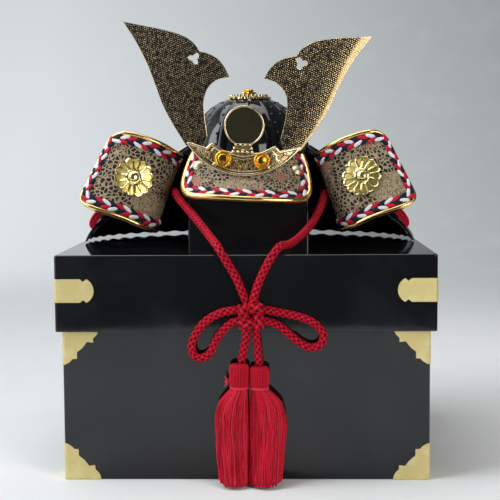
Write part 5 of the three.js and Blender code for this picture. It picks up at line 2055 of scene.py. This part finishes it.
@dataclass
class Tassel:
    """A bound head over a skirt of loose threads."""

    side: Side
    head: float
    top: float
    tie: float
    middle: float
    half_width: float
    y: float = -130.6
    waist: float = 6.2
    head_radius: float = 6.6
    half_depth: float = 8.6
    hem: float = -160.2
    spread: float = 5.4
    spread_from: float = 0.38
    spread_power: float = 1.6
    threads: int = 560
    thread: float = 0.4
    outer_share: float = 0.82
    core_share: float = 0.9
    hem_rise: float = 3.0
    ridges: int = 38
    ridge: float = 0.26
    tie_thread: float = 0.45
    loose_ends: int = 7
    silks: tuple[int, ...] = (0, 0, 0, 2, 3)
    falls: Rows3 = (
        (0, 0, 0), (0.09, 0.5, 0.5), (0.17, 0.8, 0.8), (0.31, 0.95, 0.95), (0.44, 1, 1), (1, 0.7, 0.86)
    )

    @classmethod
    def of(cls, side: Side) -> "Tassel":
        """The tassel of one side, at its own place."""
        if side is Side.LEFT:
            return cls(side, -4.5, -76.2, -93.2, -10.0, 11.7)
        return cls(side, 9.6, -78.2, -93.6, 15.6, 12.9)

    def build(self) -> bpy.types.Object:
        """Builds the head, its tie and the skirt.

        Returns:
            The tassel.
        """
        draft = Draft()
        self._bound_head(draft)
        self._skirt(draft)
        if self.side is Side.LEFT:
            self._tuft(draft)
        node = f"tassel_{self.side.word}"
        return draft.build(f"{node}_silk", TASSEL_SILKS, Slot.CORD, [node], on_lid, crease=80)

    def _bound_head(self, draft: Draft) -> None:
        """Wraps the head in upright threads, with painted shade in the grooves between them, and ties it.
        """
        radius, columns = self.head_radius, 6 * self.ridges
        rows = [(0.0, self.top + 0.3), (4.2, self.top)]
        rows += [(radius - 0.7, self.top - 0.8), (radius, self.top - 2.4)]
        rows += [(radius + 0.15, lerp(self.top, self.tie, 0.6)), (radius - 0.1, self.tie + 1.8)]
        rows += [(self.waist, self.tie + 0.8), (self.waist - 0.4, self.tie - 1.0)]
        turn = full_turn(columns)
        middle, wave = np.array([self.head, self.y, 0.0]), np.cos(turn * self.ridges)
        rings, charts = [], []
        for reach, height in smooth_line(row_points(rows), 5):
            reach = np.maximum(reach + self.ridge * wave * min(1, reach / 4), 0)
            rings.append(middle + polar(reach, turn, height))
            # The chart's third number is painted shade, deepest in the grooves.
            charts.append(coords(height, turn * radius, 0.35 - 0.35 * wave))
        draft.loft(np.array(rings), 0, True, np.array(charts))
        for height in (self.tie + 0.7, self.tie - 0.1):
            ring = middle + polar(self.waist + 0.2, full_turn(48), height)
            draft.tube(ring, self.tie_thread, 7, 2, closed=True)

    def _tuft(self, draft: Draft) -> None:
        """Lets a few loose ends stick out beside the head."""
        root = np.array([self.head - self.head_radius + 0.6, self.y, lerp(self.top, self.tie, 0.72)])
        for end in range(self.loose_ends):
            reach = np.array([-4.2 + 0.5 * (end % 3), 0.8 * (end % 2), 3.4 - 1.25 * end])
            line = np.stack([root + reach * share * (1.0, 1.0, share) for share in np.linspace(0, 1, 5)])
            draft.tube(line, self.thread * 1.2, 5, 2)

    def _fall(self, share: Points) -> tuple[Points, Points, Points]:
        """The skirt's lean and half sizes down its length.

        Args:
            share: shares of the way from the tie to the hem.

        Returns:
            The middle across, half the width and half the depth.
        """
        rows = np.array(self.falls, float)
        lean = np.interp(share, rows[:, 0], rows[:, 1])
        swell = np.interp(share, rows[:, 0], rows[:, 2])
        neck = self.waist - 0.6
        return (
            lerp(self.head, self.middle, lean),
            lerp(neck, self.half_width - self.thread, swell),
            lerp(neck, self.half_depth - self.thread, swell),
        )

    def _skirt(self, draft: Draft) -> None:
        """Hangs the skirt's threads over a dark core, which is painted shade inside the skirt, with painted
        shade on each thread's inner side.
        """
        chance = random.Random(11 + self.side.value)
        share = np.linspace(0, 1, 19)
        soft = smooth_line(np.column_stack([share, *self._fall(share)]), 3)
        share, middle, wide, thick = soft[::3].T
        height = lerp(self.tie - 1.0, self.hem, share)
        beyond = np.maximum(0, share - self.spread_from) / (1 - self.spread_from)
        forward = self.spread * beyond**self.spread_power
        thick = thick + forward
        turn = full_turn(40)
        across = middle[:, None] + self.core_share * wide[:, None] * np.cos(turn)
        deep = self.y - forward[:, None] + self.core_share * thick[:, None] * np.sin(turn)
        level = lerp(height, self.tie, 0.03)[:, None]
        # The dark core is painted shade inside the skirt.
        draft.loft(coords(across, deep, level), 1)
        for index in range(self.threads):
            angle = (index + chance.uniform(-0.4, 0.4)) * GOLDEN_TURN
            outer = index < self.threads * self.outer_share
            reach = chance.uniform(0.93, 1.0) if outer else chance.uniform(0.2, 0.9)
            drift = chance.uniform(-0.12, 0.12)
            phase = share * chance.uniform(5, 14) + chance.uniform(0, TAU)
            sway = np.sin(phase) * chance.uniform(0.15, 0.8) * np.minimum(share * 4, 1)
            bearing = angle + drift * share
            raised = self.hem_rise * max(0.0, self.side.value * math.cos(angle)) ** 4
            end = lerp(self.tie - 0.4, self.hem + chance.uniform(0, 2.6) + raised, share)
            across = middle + wide * reach * np.cos(bearing) + sway
            deep = self.y - forward + thick * reach * np.sin(bearing) + sway * 0.4
            size, silk = self.thread * chance.uniform(0.85, 1.15), chance.choice(self.silks)
            line = coords(across, deep, end)
            # edge paints shade round each thread's inner side.
            draft.tube(line, size, 5, silk, polar(1.0, bearing), edge=0.7)


@dataclass(frozen=True)
class Pale(Finish):
    """The stage's matte paper; away from the middle it glows with painted light, fully where it stands up,
    lighter on the left and darker on the right and towards the top.
    """

    colour: Colour = rgb(0.86, 0.875, 0.88)
    # The glowing wall's colours: painted light on the left, painted shade on the right, and a painted shade
    # that darkens it towards the top.
    left: Colour = rgb(0.745, 0.783, 0.82)
    right: Colour = rgb(0.38, 0.41, 0.41)
    dimmed: Colour = rgb(0.8, 0.8, 0.8)
    white: Colour = rgb(1.0, 1.0, 1.0)
    mottle: Colour = rgb(0.82, 0.83, 0.84)
    start: float = 420.0
    full: float = 1500.0
    half_view: float = 620.0
    top: float = 1100.0

    def coat(self, paint: Paint) -> None:
        """Paints a paper sweep that glows with painted light at the back, with painted shade to the right
        and towards the top.
        """
        x, y, z = paint.parts(paint.place())
        away = (x * x + y * y).root()
        back = away.between(self.start, self.full)
        # Painted light and shade: the glowing wall fades from lighter on the left to darker on the right.
        across = (x / (2 * self.half_view) + 0.5).most(0.0).least(1.0)
        wall = paint.mix(self.left, self.right, across)
        # Painted shade: the glowing wall darkens towards the top.
        dim = paint.mix(wall, self.dimmed, 1.0, "MULTIPLY")
        wall = paint.mix(wall, dim, z.between(0.0, self.top))
        wall = paint.mix(wall, self.white, (paint.noise(90.0, 5.0) - 0.5) * 0.16)
        # The glow, from the start distance out and full far back, is painted light; the paper is no lamp.
        glow = paint.node("ShaderNodeEmission", inputs={"Color": wall, "Strength": 1.0})
        tone = paint.mix(self.colour, self.mottle, paint.noise(60.0, 3.0))
        paper = paint.node("ShaderNodeBsdfDiffuse", inputs={"Color": tone, "Roughness": 0.5})
        both = paint.node("ShaderNodeMixShader", inputs={0: back, 1: paper, 2: glow})
        paint.node("ShaderNodeOutputMaterial", inputs={"Surface": both})


@dataclass
class Studio:
    """The pale floor, the soft light and the camera."""

    floor_reach: float = 860.0
    sweep_start: float = 1500.0
    sweep_reach: float = 2700.0
    wall_top: float = 3200.0
    camera_spot: tuple[float, float, float] = (24.9, -954.3, 237.5)
    yaw: float = math.radians(1.477)
    pitch: float = math.radians(4.969)
    roll: float = math.radians(-0.369)
    lens: float = 85.59
    sensor: float = 36.0
    far: float = 20.0
    stage_steps: int = 96

    def build(self) -> None:
        """Sets the camera, the stage and the light."""
        self._camera()
        self._stage()
        self._light()

    def _camera(self) -> None:
        """Sets the camera where the photograph was taken from."""
        cos, sin = math.cos(self.yaw), math.sin(self.yaw)
        right, ahead, up = np.array([cos, sin, 0]), np.array([-sin, cos, 0]), np.array([0, 0, 1.0])
        look = ahead * math.cos(self.pitch) - up * math.sin(self.pitch)
        top = up * math.cos(self.pitch) + ahead * math.sin(self.pitch)
        side = right * math.cos(self.roll) + top * math.sin(self.roll)
        data = bpy.data.cameras.new("photo_camera")
        data.sensor_width = self.sensor
        data.lens = self.lens
        data.clip_end = self.far
        bpy.context.scene.camera = self._aimed(data, self.camera_spot, side, look)
        bpy.context.scene.view_settings.view_transform = "Standard"

    @staticmethod
    def _aimed(data: bpy.types.ID, spot: Sequence[float], side: Points, look: Points) -> bpy.types.Object:
        """Sets up a camera or light.

        Args:
            data: the camera or light.
            spot: where it is.
            side: the way to its right.
            look: the way it faces.

        Returns:
            Its object.
        """
        made = bpy.data.objects.new(data.name, data)
        turn = np.eye(4)
        turn[:3, :3] = np.column_stack([side, np.cross(side, look), -look])
        turn[:3, 3] = np.array(spot, float) * MM
        made.matrix_world = Matrix(turn.tolist())
        bpy.context.scene.collection.objects.link(made)
        return made

    def _stage(self) -> None:
        """Turns the floor, and the sweep that stands up round it."""
        curve = self.sweep_reach - self.sweep_start
        floor = [(0.0, 0.0), (300.0, 0.0), (self.floor_reach, 0.0)]
        sweep = [(self.floor_reach, 0.0), (self.sweep_start, 0.0)]
        for t in np.linspace(0, math.pi / 2, 16)[1:]:
            sweep.append((self.sweep_start + curve * math.sin(t), curve * (1 - math.cos(t))))
        sweep.append((self.sweep_reach, self.wall_top))
        for name, profile, mirrored in (("floor", floor, True), ("sweep", sweep, False)):
            mesh = bpy.data.meshes.new(name)
            rings = [polar(r, full_turn(self.stage_steps), z) for r, z in profile]
            faces = grid_faces(len(profile), self.stage_steps, True)
            mesh.from_pydata((np.concatenate(rings) * MM).tolist(), [], faces)
            mesh.polygons.foreach_set("use_smooth", [True] * len(mesh.polygons))
            mesh.materials.append(Pale("stage_paper").material())
            stage = bpy.data.objects.new(name, mesh)
            bpy.context.scene.collection.objects.link(stage)
            if not mirrored:
                stage.visible_glossy = False
                stage.visible_diffuse = False
                stage.visible_shadow = False

    def _light(self) -> None:
        """Hangs the soft lights and sets the room's dim glow."""
        world = bpy.data.worlds.new("studio_room")
        bpy.context.scene.world = world
        world.use_nodes = True
        paint = Paint(world.node_tree)
        x, y, z = paint.parts(paint.node("ShaderNodeTexCoord", output="Generated"))
        back = y.between(0.3, 0.8) * z.between(0.95, 0.3)
        left = x.between(-0.4, -0.9)
        tone = paint.mix(rgb(0.075, 0.08, 0.085), rgb(0.72, 0.76, 0.8), left)
        wall = paint.mix(rgb(0.68, 0.71, 0.74), rgb(0.2, 0.21, 0.22), x.between(-0.16, 0.2))
        tone = paint.mix(tone, wall, back)
        glow = paint.node("ShaderNodeBackground", inputs={"Color": tone, "Strength": 1.0})
        paint.node("ShaderNodeOutputWorld", inputs={"Surface": glow})
        self._softbox("key", (-900, -420, 820), (0, -40, 150), 800, 9.0, (0.95, 0.98, 1.0))
        self._softbox("top", (-200, 100, 1300), (0, 0, 100), 1100, 9.0, (0.97, 0.99, 1.0))
        self._softbox("fill", (700, -1000, 420), (0, -40, 150), 600, 5.0, (1.0, 0.96, 0.9))

    def _softbox(
        self,
        name: str,
        spot: Sequence[float],
        target: Sequence[float],
        size: float,
        power: float,
        colour: tuple[float, float, float],
    ) -> None:
        """Hangs one square softbox.

        Args:
            name: its name.
            spot: where it hangs.
            target: what it faces.
            size: its side.
            power: its power in watts.
            colour: its light.
        """
        data = bpy.data.lights.new(name, "AREA")
        data.size = size * MM
        data.energy = power
        data.color = colour
        look = unit(np.array(target, float) - np.array(spot, float))
        self._aimed(data, spot, unit(np.cross(look, [0, 0, 1.0])), look)


def main() -> None:
    """Builds the scene piece by piece."""
    logging.basicConfig(level=logging.INFO, format="%(name)s: %(message)s")
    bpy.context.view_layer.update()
    assemblies = [
        Studio(),
        CordSet(),
        StorageBox(),
        HelmetStand(),
        Bowl(),
        NeckGuard(),
        Visor(),
        Crest(),
        Flap(Side.LEFT),
        Flap(Side.RIGHT),
    ]
    for assembly in assemblies:
        LOG.info("building %s", type(assembly).__name__)
        assembly.build()


if __name__ == "__main__":
    main()
